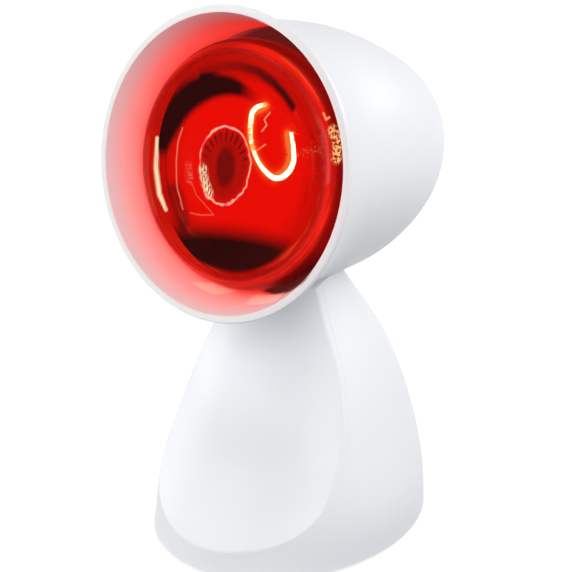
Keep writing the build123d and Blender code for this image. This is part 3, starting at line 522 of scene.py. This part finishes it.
def moulded_skin(paint, base, roughness, peel, coat):
    """Sockets of moulded plastic: a faint waviness and slightly uneven gloss."""
    cloud = paint.noise(paint.place(), 18.0)
    tone = paint.mix(cloud, [c * 0.985 for c in base], [min(1.0, c * 1.01) for c in base])
    return {"Base Color": tone, "Roughness": roughness + (cloud - 0.5) * UNEVEN_GLOSS, "Coat Weight": coat,
            "Coat Roughness": COAT_ROUGHNESS, "Specular IOR Level": 0.3, "Normal": paint.waviness(peel)}


def moulded(name, *skin):
    paint = new_paint(name)
    return paint.surface(moulded_skin(paint, *skin))


def metal(name, base, roughness, grain):
    """Plated or drawn metal with fine grain."""
    paint = new_paint(name)
    grains = paint.noise(paint.place(), grain, detail=3.0)
    cloud = paint.noise(paint.place(), 90.0)
    tone = paint.mix(cloud, [c * 0.82 for c in base], base)
    return paint.surface({"Base Color": tone, "Metallic": 1.0, "Roughness": roughness + (grains - 0.5) * 0.2,
                          "Normal": paint.bump(grains, strength=0.12, distance=0.1 * MM)})


def head_place(paint):
    """Object coordinates in the bulb's own axes, in millimetres: across, depth behind the rim, up."""
    sizes = settings()[0]
    tilt = sizes.head_tilt
    depth = sizes.rim_front * cos(tilt) - sizes.rim_height * sin(tilt)
    height = sizes.rim_front * sin(tilt) + sizes.rim_height * cos(tilt) - sizes.bulb_drop
    mapped = paint.place((0, -depth / MM, -height / MM), (tilt, 0, 0), (1 / MM, 1 / MM, 1 / MM))
    return paint.split(mapped)


def head_point(across, up, depth):
    """World place of a point in the bulb's own axes, given in millimetres."""
    sizes = settings()[0]
    tilt = sizes.head_tilt
    rise = up * MM - sizes.bulb_drop
    return Vector((across * MM, sizes.rim_front + rise * sin(tilt) + depth * MM * cos(tilt),
                   sizes.rim_height + rise * cos(tilt) - depth * MM * sin(tilt)))


def slanted(across, depth, up):
    """Where a place shows on the plane of the widest ring, through the front glass and at a slant."""
    behind = depth - settings()[0].lens_edge_depth / MM
    return across + behind * SLANT[0], up + behind * SLANT[1]


# ---- operators: finishes -----------------------------------------------------------------------------
class LAMP_OT_mouldings(Operator):
    """Finish the white housing, cover and bell, and the grey, black, rubber, fibre and ceramic pieces"""
    bl_idname = "lamp.mouldings"
    bl_label = "Mouldings"

    def execute(self, context):
        sizes, colours, _ = settings()
        white = (colours.moulding, WHITE_ROUGHNESS, sizes.peel_size, WHITE_COAT)
        finish_nodes(moulded("white moulding", *white), "rear_housing", "front_cover")
        finish_nodes(self.bell(white), "head_shell")
        for name, base, roughness, peel, coat, nodes in MOULDINGS:
            finish_nodes(moulded(name, base, roughness, peel * MM, coat), *nodes)
        return {"FINISHED"}

    def bell(self, white):
        """White moulding whose inside behind the bulb is darkened with painted shade and lit with painted red
        light.
        """
        tilt = settings()[0].head_tilt
        paint = new_paint("bell moulding")
        skin = moulded_skin(paint, *white)
        across, depth, up = head_place(paint)
        x, y, z = paint.split(paint.node("ShaderNodeTexCoord").outputs["Normal"])
        outward = x * across + (y * sin(tilt) + z * cos(tilt)) * up
        inside = (1 - paint.smooth(outward, *BELL_INNER_WALL)) * paint.smooth(depth, *BELL_INSIDE_DEPTHS)
        glow = paint.mix(paint.smooth(depth, *BELL_FADE_DEPTHS), BELL_PAINTED_RED_LIGHT, BELL_PAINTED_DEEP_RED_LIGHT)
        # painted shade in the base colour and painted red light as emission, on the inner wall only
        skin["Base Color"] = paint.mix(inside, skin["Base Color"], BELL_INSIDE_PAINTED_SHADE)
        skin["Emission Color"] = paint.mix(inside, BLACK, glow)
        skin["Emission Strength"] = 1.0
        return paint.surface(skin)


class LAMP_OT_metals(Operator):
    """Finish the steel, brass, aluminium and solder pieces"""
    bl_idname = "lamp.metals"
    bl_label = "Metals"

    def execute(self, context):
        for name, base, roughness, grain, nodes in METALS:
            finish_nodes(metal(name, base, roughness, grain), *nodes)
        return {"FINISHED"}


class LAMP_OT_shade(Operator):
    """Finish the white inside of the shade, lit red by the bulb"""
    bl_idname = "lamp.shade"
    bl_label = "Shade"

    def execute(self, context):
        sizes, colours, _ = settings()
        paint = new_paint("shade white")
        across, depth, up = head_place(paint)
        turn = paint.bearing(across, up) * DEGREES
        cloud = paint.noise(paint.join(across * 0.03, depth * 0.05, up * 0.03))
        lit = paint.smooth(depth + (cloud - 0.5) * SHADE_LIGHT_WANDER, *SHADE_LIGHT_DEPTHS)
        inside = self.inside(paint, across, depth, up)
        patches = self.patches(paint, turn, depth) * inside
        dark = self.dark_side(paint, turn, depth) * inside * DARK_SIDE_STRENGTH
        # the lip, lighter on the left and greyed with painted shade towards the right
        lip = paint.mix(paint.smooth(across, *LIP_SIDES), colours.lip, colours.lip_painted_shade)
        # the inside tinted towards the bulb with its painted red light
        tone = paint.mix(inside, lip, paint.mix(lit, colours.shade, colours.shade_painted_red_light))
        tone = paint.mix(dark, tone, DARK_SIDE_TONE)
        glow = paint.mix(lit, SHADE_LIP_GLOW, colours.shade_glow)
        glow = paint.mix(inside, BLACK, glow)
        glow = paint.mix(dark, glow, DARK_SIDE_GLOW)
        glow = paint.mix(patches * SHADE_PATCH_STRENGTH, glow, SHADE_PATCH_GLOW)
        material = paint.surface({"Base Color": tone, "Roughness": 0.34 + (cloud - 0.5) * UNEVEN_GLOSS,
                                  "Coat Weight": 0.1, "Coat Roughness": COAT_ROUGHNESS,
                                  "Emission Color": glow, "Emission Strength": 1.0,
                                  "Normal": paint.waviness(sizes.peel_size)})
        finish_nodes(material, "shade_liner")
        return {"FINISHED"}

    def inside(self, paint, across, depth, up):
        """1 within the lip's inner edge, which is round about the shade's own middle."""
        middle = up - settings()[0].bulb_drop / MM - depth * LIP_RISE
        edge = paint.greatest(LIP_RADIUS - depth * LIP_TAPER, LIP_LEAST_RADIUS)
        return 1 - paint.smooth(paint.distance(across, middle) - edge, -LIP_EDGE, LIP_EDGE)

    def patches(self, paint, turn, depth):
        """The filament's two broad reflections low in the shade."""
        total = 0.0
        for middle, turn_edge, depth_edge, turn_lean, depth_lean in SHADE_PATCHES:
            turned, deeper = turn - middle[0], depth - middle[1]
            patch = paint.near(turned - deeper * turn_lean, *turn_edge)
            total = total + patch * paint.near(deeper - turned * depth_lean, *depth_edge)
        return paint.least(total, 1.0)

    def dark_side(self, paint, turn, depth):
        """Dark reflection low on the right."""
        behind = depth - DARK_SIDE_FRONT[1] + (turn - DARK_SIDE_FRONT[0]) * DARK_SIDE_LEAN
        return paint.smooth(behind, *DARK_SIDE_STEP) * paint.near(turn - DARK_SIDE_TURN, *DARK_SIDE_WIDTH)


class LAMP_OT_bulb(Operator):
    """Finish the ruby front glass and the glowing mirror behind it"""
    bl_idname = "lamp.bulb"
    bl_label = "Bulb"

    def execute(self, context):
        finish_nodes(self.front_glass(), "bulb_lens")
        finish_nodes(self.mirror(), "bulb_reflector", "filament_supports")
        return {"FINISHED"}

    def front_glass(self):
        """Ruby glass: clear in front, with streaky painted reflections at its edge and the mirror's brightest
        painted marks on it.
        """
        colours = settings()[1]
        paint = new_paint("ruby glass")
        across, depth, up = head_place(paint)
        edge = paint.smooth(paint.distance(across, up), *GLASS_FACE_END)
        glow = paint.mix(edge, GLASS_FACE_GLOW, self.glass_edge(paint, across, up))
        picture = Picture(paint, *slanted(across, depth, up), glow)
        grains = picture.grain(0.7, 0.7, seed=4.0, detail=3.0, roughness=0.7)
        # painted gold glints
        glint_specks = picture.line(GOLD_GLINT_SPECKS, half=1.6, soft=2.6) * paint.smooth(grains, 0.47, 0.53)
        glint_fleck = picture.line(GOLD_GLINT_FLECK, half=0.2, soft=0.7) * 0.6
        picture.lay(paint.greatest(glint_specks, glint_fleck), GOLD)
        streak = self.edge_streak(picture) * paint.smooth(depth, *GLASS_STREAK_DEPTHS)
        picture.lay(streak, colours.cream)
        alpha = GLASS_FACE_COVER + edge * GLASS_EDGE_COVER
        alpha = alpha + streak * (1 - alpha)
        return paint.surface({"Base Color": colours.ruby, "Roughness": 0.06, "Alpha": alpha,
                              "Specular IOR Level": 0.08, "Emission Color": picture.light,
                              "Emission Strength": 1.0})

    def glass_edge(self, paint, across, up):
        """Light of the front glass's edge, with its streaky painted reflections, and of the smooth band round
        it.
        """
        ring = Picture(paint, across, up, GLASS_RING_GLOW)
        radius, reflection_streaks = paint.distance(across, up), ring.reflection_streaks()
        ring.lay(paint.smooth(reflection_streaks, 0.42, 0.6), GLASS_STREAK_REFLECTION)
        ring.lay(paint.smooth(reflection_streaks, 0.62, 0.7) * 0.6, GLASS_GLINT_GLOW)
        facing = (across * cos(GLASS_DARK_SIDE) + up * sin(GLASS_DARK_SIDE)) / radius
        band = paint.mix(paint.smooth(facing, *GLASS_DARK_PART), GLASS_BAND_GLOW, GLASS_BAND_SHADE)
        ring.lay(paint.smooth(radius, *GLASS_BAND_START), band)
        return ring.light

    def edge_streak(self, picture):
        """Bright narrow reflection along the left edge."""
        paint = picture.paint
        swell = paint.near(picture.up - EDGE_STREAK_MIDDLE, *EDGE_STREAK_STRETCH)
        line = picture.line(EDGE_STREAK, half=0.2, soft=1.4 + swell * 0.9)
        return line * paint.smooth(picture.grain(1.1, 0.06, seed=5.0, detail=3.0), 0.2, 0.5)

    def mirror(self):
        """Mirror: silver outside, and inside the bulb's red light with its reflections."""
        sizes, colours, _ = settings()
        paint = new_paint("silvered mirror")
        across, depth, up = head_place(paint)
        flat = Picture(paint, *slanted(across, depth, up), colours.glow)
        wobble = flat.grain(WOBBLE_WAVES, WOBBLE_WAVES, seed=0.0, detail=3.0) - 0.5
        picture = Picture(paint, flat.across + wobble * WOBBLE[0], flat.up + wobble * WOBBLE[1], colours.glow)
        self.outer_part(picture)
        picture.lay(self.dark_shapes(picture), colours.shadow)
        self.neck_image(picture)
        self.sparks(picture)
        image = [slanted(x, sizes.filament_depth / MM, y) for x, y in BOW]
        for half, soft, strength, halo in HALOES:
            picture.lay(picture.line(image, half, soft) * strength, halo)
        picture.lay(self.edge_streak(picture), colours.cream)
        beyond = across * across + up * up - (WALL_SQUARE - (depth - WALL_DEPTH) * WALL_TAPER)
        outside = paint.smooth(beyond, *WALL_STEP)
        picture.lay(outside, BLACK)
        return paint.surface({"Base Color": paint.mix(outside, MIRROR_INSIDE, SILVER),
                              "Roughness": 0.22 + wobble * 0.04, "Metallic": outside,
                              "Specular IOR Level": 0.04, "Emission Color": picture.light,
                              "Emission Strength": 1.0})

    def outer_part(self, picture):
        """The mirror's darker outer part with its streaky painted reflections."""
        paint = picture.paint
        reflection_streaks = picture.reflection_streaks()
        outer = paint.smooth(paint.distance(picture.across, picture.up), *OUTER_PART)
        picture.lay(outer, OUTER_GLOW)
        picture.lay((1 - paint.smooth(reflection_streaks, 0.36, 0.5)) * outer * 0.7, OUTER_DARK_REFLECTION)
        picture.lay(paint.smooth(reflection_streaks, 0.58, 0.68) * outer * 0.6, OUTER_BRIGHT_REFLECTION)

    def dark_shapes(self, picture):
        """The room's dark reflections: two crescents, a thin arc and a smear."""
        paint = picture.paint
        arc = picture.line(DARK_ARC, half=0.5, soft=3.4)
        arc = arc * (0.45 + paint.smooth(picture.across, *DARK_ARC_FADE) * 0.5)
        smear = picture.line(DARK_SMEAR, half=1.0, soft=6.0) * 0.55
        crescents = self.upper_crescent(picture) + self.lower_crescent(picture) * BOWL_STRENGTH
        return paint.least(crescents + arc + smear, 1.0)

    def upper_crescent(self, picture):
        paint = picture.paint
        across, up = picture.way_from(CRESCENT_CENTRE)
        ring = abs(paint.distance(across, up) - CRESCENT_RADIUS)
        ahead = across * cos(CRESCENT_START) + up * sin(CRESCENT_START)
        aside = up * cos(CRESCENT_START) - across * sin(CRESCENT_START)
        turn = paint.bearing(ahead, aside) * DEGREES
        width = paint.smooth(turn, *CRESCENT_SWELLS) * (1 - paint.smooth(turn, *CRESCENT_THINS))
        shape = 1 - paint.smooth(ring, width * CRESCENT_HALF, width * CRESCENT_REACH + CRESCENT_SOFT)
        return shape * paint.smooth(width, 0.04, 0.45)

    def lower_crescent(self, picture):
        paint = picture.paint
        round_edge = 1 - paint.smooth(paint.distance(*picture.way_from(BOWL_CENTRE)), *BOWL_EDGE)
        aside = picture.across - BOWL_TOP
        return round_edge * paint.smooth(-picture.up - aside * aside * BOWL_SAG, *BOWL_TOP_EDGE)

    def neck_image(self, picture):
        """The neck mirrored in the silvering: a crinkled bright ring round a dark core."""
        paint, up = picture.paint, picture.up
        crinkle = (picture.grain(0.35, 0.35, seed=0.0, detail=4.0, roughness=0.7) - 0.5) * 2.4
        swell = (picture.grain(0.11, 0.11, seed=6.0) - 0.5) * 0.16
        across_ring, up_ring = picture.oval(NECK_CENTRE, NECK_RADII)
        # 0 in the ring's middle and 1 on it
        reach = paint.distance(across_ring, up_ring) + swell
        picture.lay((1 - paint.smooth(reach, 0.8, 1.0)) * 0.6, NECK_BROWN)
        # dark ticks inside the ring, in its upper half
        turn = paint.bearing(across_ring, up_ring)
        ticks = paint.smooth(paint.math("SINE", turn * NECK_TICKS + crinkle * 1.2), 0.25, 0.9)
        ticks = ticks * paint.near(reach - 0.76, half=0.1, soft=0.08) * paint.smooth(up, -4.0, 4.0)
        picture.lay(ticks * 0.75, NECK_TICK)
        core = paint.distance(*picture.oval(CORE_CENTRE, CORE_RADII)) + crinkle * 0.06
        picture.lay((1 - paint.smooth(core, 0.7, 1.35)) * 0.7, NECK_CORE)
        # painted glints: fine bright lines in the neck's reflection
        glint_lines = picture.grain(0.5, 0.5, seed=8.0, detail=4.0, roughness=0.7)
        glint_lines = paint.near(glint_lines - 0.5, half=0.004, soft=0.012)
        picture.lay(glint_lines * (1 - paint.smooth(reach, 0.85, 0.95)) * 0.35, NECK_GLINT)
        # the thin ring itself, more crinkled further down and broken in patches
        rough = crinkle * 0.9 * (0.4 + paint.smooth(-up, 4.0, 16.0))
        patchy = paint.smooth(picture.grain(0.09, 0.09, seed=3.0), 0.32, 0.52)
        thin = paint.near((reach - 1.0) * 18.0 + rough, half=0.22, soft=0.5)
        picture.lay(thin * (0.2 + patchy * 0.8), NECK_RING)
        crumpled = picture.grain(1.1, 0.35, seed=1.0, detail=3.0, roughness=0.7)
        cluster = picture.line(NECK_CLUSTER, half=1.2, soft=2.6) * paint.smooth(crumpled, 0.46, 0.54)
        picture.lay(cluster, settings()[1].cream)

    def sparks(self, picture):
        """Painted glints: thin pink lines and gold specks along the leads and the silvering's edge."""
        for points, half, soft, strength, light in THIN_GLINT_LINES:
            picture.lay(picture.line(points, half, soft) * strength, light)
        grains = picture.grain(0.8, 0.8, seed=4.0, detail=3.0, roughness=0.7)
        for points, half, soft, step, strength, light in GLINT_SPECKS:
            glint_specks = picture.line(points, half, soft) * picture.paint.smooth(grains, *step)
            picture.lay(glint_specks * strength, light)


class LAMP_OT_filament(Operator):
    """Coil the glowing filament along its bow"""
    bl_idname = "lamp.filament"
    bl_label = "Filament"

    def execute(self, context):
        sizes = settings()[0]
        bow = self.bow(sizes)
        turns = int(bow.data.splines[0].calc_length() / sizes.coil_pitch)
        coil = self.coil(sizes, turns)
        bend = coil.modifiers.new("bend", "CURVE")
        bend.object = bow
        bend.deform_axis = "POS_Z"
        bpy.ops.object.modifier_apply(modifier=bend.name)
        bpy.data.objects.remove(bow)
        bpy.ops.object.shade_smooth()
        coil.data.materials.append(self.tungsten())
        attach(coil, "head")
        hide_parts("filament")
        return {"FINISHED"}

    def bow(self, sizes):
        """Curve through the filament's middle line."""
        bpy.ops.object.select_all(action="DESELECT")
        bpy.ops.curve.primitive_bezier_curve_add(location=(0, 0, 0))
        bow = bpy.context.object
        points = bow.data.splines[0].bezier_points
        points.add(len(BOW) - len(points))
        for point, (x, y), swell in zip(points, BOW, SWELL):
            point.co = head_point(x, y, sizes.filament_depth / MM)
            point.radius = swell
            point.handle_left_type = point.handle_right_type = "AUTO"
        return bow

    def coil(self, sizes, turns):
        """Straight coil along Z, from one ring of wire that is swept round and up."""
        bpy.ops.object.select_all(action="DESELECT")
        bpy.ops.mesh.primitive_circle_add(vertices=WIRE_SIDES, radius=sizes.coil_wire, location=(0, 0, 0))
        coil = bpy.context.object
        coil.name = "filament_coil"
        bpy.ops.object.mode_set(mode="EDIT")
        bpy.ops.mesh.select_all(action="SELECT")
        bpy.ops.transform.rotate(value=pi / 2, orient_axis="X", center_override=(0, 0, 0))
        bpy.ops.transform.translate(value=(sizes.coil_radius - sizes.coil_wire, 0, 0))
        bpy.ops.object.mode_set(mode="OBJECT")
        sweep = coil.modifiers.new("sweep", "SCREW")
        sweep.axis = "Z"
        sweep.screw_offset = sizes.coil_pitch
        sweep.iterations = turns
        sweep.steps = sweep.render_steps = STEPS_IN_TURN
        bpy.ops.object.modifier_apply(modifier=sweep.name)
        bpy.ops.object.mode_set(mode="EDIT")
        bpy.ops.mesh.select_all(action="SELECT")
        bpy.ops.mesh.fill_holes(sides=WIRE_SIDES)
        bpy.ops.mesh.normals_make_consistent(inside=False)
        bpy.ops.object.mode_set(mode="OBJECT")
        return coil

    def tungsten(self):
        """Cream-hot wire, duller at one end and on the left."""
        paint = new_paint("glowing tungsten")
        across, _, up = head_place(paint)
        heat = paint.noise(paint.join(across * 0.5, up * 0.5, 0.0), detail=3.0, roughness=0.6)
        cool = paint.near(up - 10.0, 3.0, 9.0) * paint.near(across + 18.0, 3.0, 4.0) * 0.2
        cool = cool + paint.smooth(up, 23.0, 29.0) * paint.smooth(across, -14.0, -10.0) * 0.3
        tone = paint.mix(paint.smooth(heat - cool, 0.28, 0.5), TUNGSTEN_DULL_GLOW, settings()[1].cream)
        return paint.surface({"Base Color": TUNGSTEN, "Roughness": 0.5, "Emission Color": tone,
                              "Emission Strength": TUNGSTEN_STRENGTH})


# ---- operators: studio -------------------------------------------------------------------------------
class LAMP_OT_studio(Operator):
    """Set up the camera, the lights, the floor and its backdrop"""
    bl_idname = "lamp.studio"
    bl_label = "Studio"

    def execute(self, context):
        self.camera()
        self.world()
        self.floor()
        self.lights()
        context.scene.view_settings.view_transform = "Standard"
        return {"FINISHED"}

    def camera(self):
        studio = settings()[2]
        aim = Vector((0, studio.aim_front, studio.aim_height))
        back = Vector((sin(studio.azimuth) * cos(studio.elevation),
                       -cos(studio.azimuth) * cos(studio.elevation), sin(studio.elevation)))
        bpy.ops.object.camera_add(location=aim + back * studio.distance)
        camera = bpy.context.object
        camera.name = "camera"
        camera.rotation_euler = (-back).to_track_quat("-Z", "Y").to_euler()
        camera.data.lens = studio.lens
        camera.data.sensor_width = SENSOR_WIDTH
        camera.data.clip_start, camera.data.clip_end = CAMERA_RANGE
        bpy.context.scene.camera = camera

    def world(self):
        """White where it is seen, and a faint even light on the lamp."""
        world = bpy.data.worlds.new("studio")
        bpy.context.scene.world = world
        paint = Paint(world)
        even = paint.node("ShaderNodeBackground", {}, {"Color": EVEN_LIGHT,
                                                       "Strength": settings()[2].world_light})
        white = paint.node("ShaderNodeBackground", {}, {"Color": WHITE, "Strength": 1.0})
        blend = paint.node("ShaderNodeMixShader", {}, {0: paint.seen_ray(), 1: even.outputs[0],
                                                       2: white.outputs[0]})
        paint.node("ShaderNodeOutputWorld", {}, {0: blend.outputs[0]})

    def floor(self):
        """Round table whose rim curves up far outside the view."""
        bpy.ops.object.select_all(action="DESELECT")
        bpy.ops.mesh.primitive_circle_add(vertices=TABLE_SIDES, radius=TABLE_RADIUS, fill_type="NGON",
                                          location=(0, 0, -TABLE_DROP))
        floor = bpy.context.object
        floor.name = "floor"
        bpy.ops.object.transform_apply(location=True, rotation=True, scale=True)
        bpy.ops.object.mode_set(mode="EDIT")
        bpy.ops.mesh.select_all(action="SELECT")
        for growth, lift in TABLE_RINGS:
            bpy.ops.mesh.extrude_region_move(TRANSFORM_OT_translate={"value": (0, 0, lift)})
            bpy.ops.transform.resize(value=(growth, growth, 1), center_override=(0, 0, 0))
        bpy.ops.mesh.delete(type="ONLY_FACE")
        bpy.ops.mesh.select_all(action="SELECT")
        bpy.ops.mesh.normals_make_consistent(inside=True)
        bpy.ops.object.mode_set(mode="OBJECT")
        bpy.ops.object.shade_smooth()
        floor.data.materials.append(self.table())

    def table(self):
        """Pale table: white where it is seen, apart from the lamp's shadow, and darker where it lights it."""
        paint = new_paint("studio floor")
        x, y, _ = paint.split(paint.place())
        away = paint.smooth(paint.distance(x, y), *TABLE_FADE)
        light = paint.mix(away, TABLE_NEAR, TABLE_FAR)
        tone = paint.mix(paint.noise(paint.place(), 3.0), *TABLE_TONES)
        grey = paint.node("ShaderNodeBsdfDiffuse", {}, {"Color": tone})
        lit = paint.node("ShaderNodeBsdfDiffuse", {}, {"Color": TABLE_LIT})
        own = paint.node("ShaderNodeEmission", {}, {"Color": light, "Strength": 1.0})
        white = paint.node("ShaderNodeAddShader", {}, {0: lit.outputs[0], 1: own.outputs[0]})
        blend = paint.node("ShaderNodeMixShader", {}, {0: paint.seen_ray(), 1: grey.outputs[0],
                                                       2: white.outputs[0]})
        paint.node("ShaderNodeOutputMaterial", {}, {0: blend.outputs[0]})
        return paint.owner

    def lights(self):
        studio = settings()[2]
        self.soft_box("key light", (0.8, -1.2, 0.7), studio.key_light)
        self.soft_box("front light", (-0.8, -1.1, 1.0), studio.front_light)
        self.soft_box("left light", (-1.3, -0.2, 0.5), studio.left_light)
        self.soft_box("right light", (1.4, 0.3, 0.35), studio.right_light)
        self.soft_box("rear light", (0.7, 0.9, 1.0), studio.rear_light)

    def soft_box(self, name, place, watts):
        bpy.ops.object.light_add(type="AREA", location=place)
        light = bpy.context.object
        light.name = name
        light.rotation_euler = (LIT_POINT - Vector(place)).to_track_quat("-Z", "Y").to_euler()
        light.data.shape = "SQUARE"
        light.data.size = SOFT_BOX_WIDTH
        light.data.energy = watts


# ---- panel -------------------------------------------------------------------------------------------
class LAMP_PT_panel(Panel):
    """Sizes, colours and steps of the heat lamp"""
    bl_label = "Heat Lamp"
    bl_idname = "LAMP_PT_panel"
    bl_space_type = "VIEW_3D"
    bl_region_type = "UI"
    bl_category = "Heat Lamp"

    def draw(self, context):
        for group in settings():
            box = self.layout.box()
            for name in group.__annotations__:
                box.prop(group, name)
        for step in STEPS:
            self.layout.operator(step.bl_idname)


STEPS = (LAMP_OT_mouldings, LAMP_OT_metals, LAMP_OT_shade, LAMP_OT_bulb, LAMP_OT_filament, LAMP_OT_studio)
CLASSES = (LampSizes, LampColours, StudioSettings, *STEPS, LAMP_PT_panel)


def register():
    for made in CLASSES:
        bpy.utils.register_class(made)
    bpy.types.Scene.lamp_sizes = PointerProperty(type=LampSizes)
    bpy.types.Scene.lamp_colours = PointerProperty(type=LampColours)
    bpy.types.Scene.lamp_studio = PointerProperty(type=StudioSettings)


def unregister():
    del bpy.types.Scene.lamp_studio
    del bpy.types.Scene.lamp_colours
    del bpy.types.Scene.lamp_sizes
    for made in reversed(CLASSES):
        bpy.utils.unregister_class(made)


def main():
    register()
    bpy.ops.lamp.mouldings()
    bpy.ops.lamp.metals()
    bpy.ops.lamp.shade()
    bpy.ops.lamp.bulb()
    bpy.ops.lamp.filament()
    bpy.ops.lamp.studio()


if __name__ == "__main__":
    main()
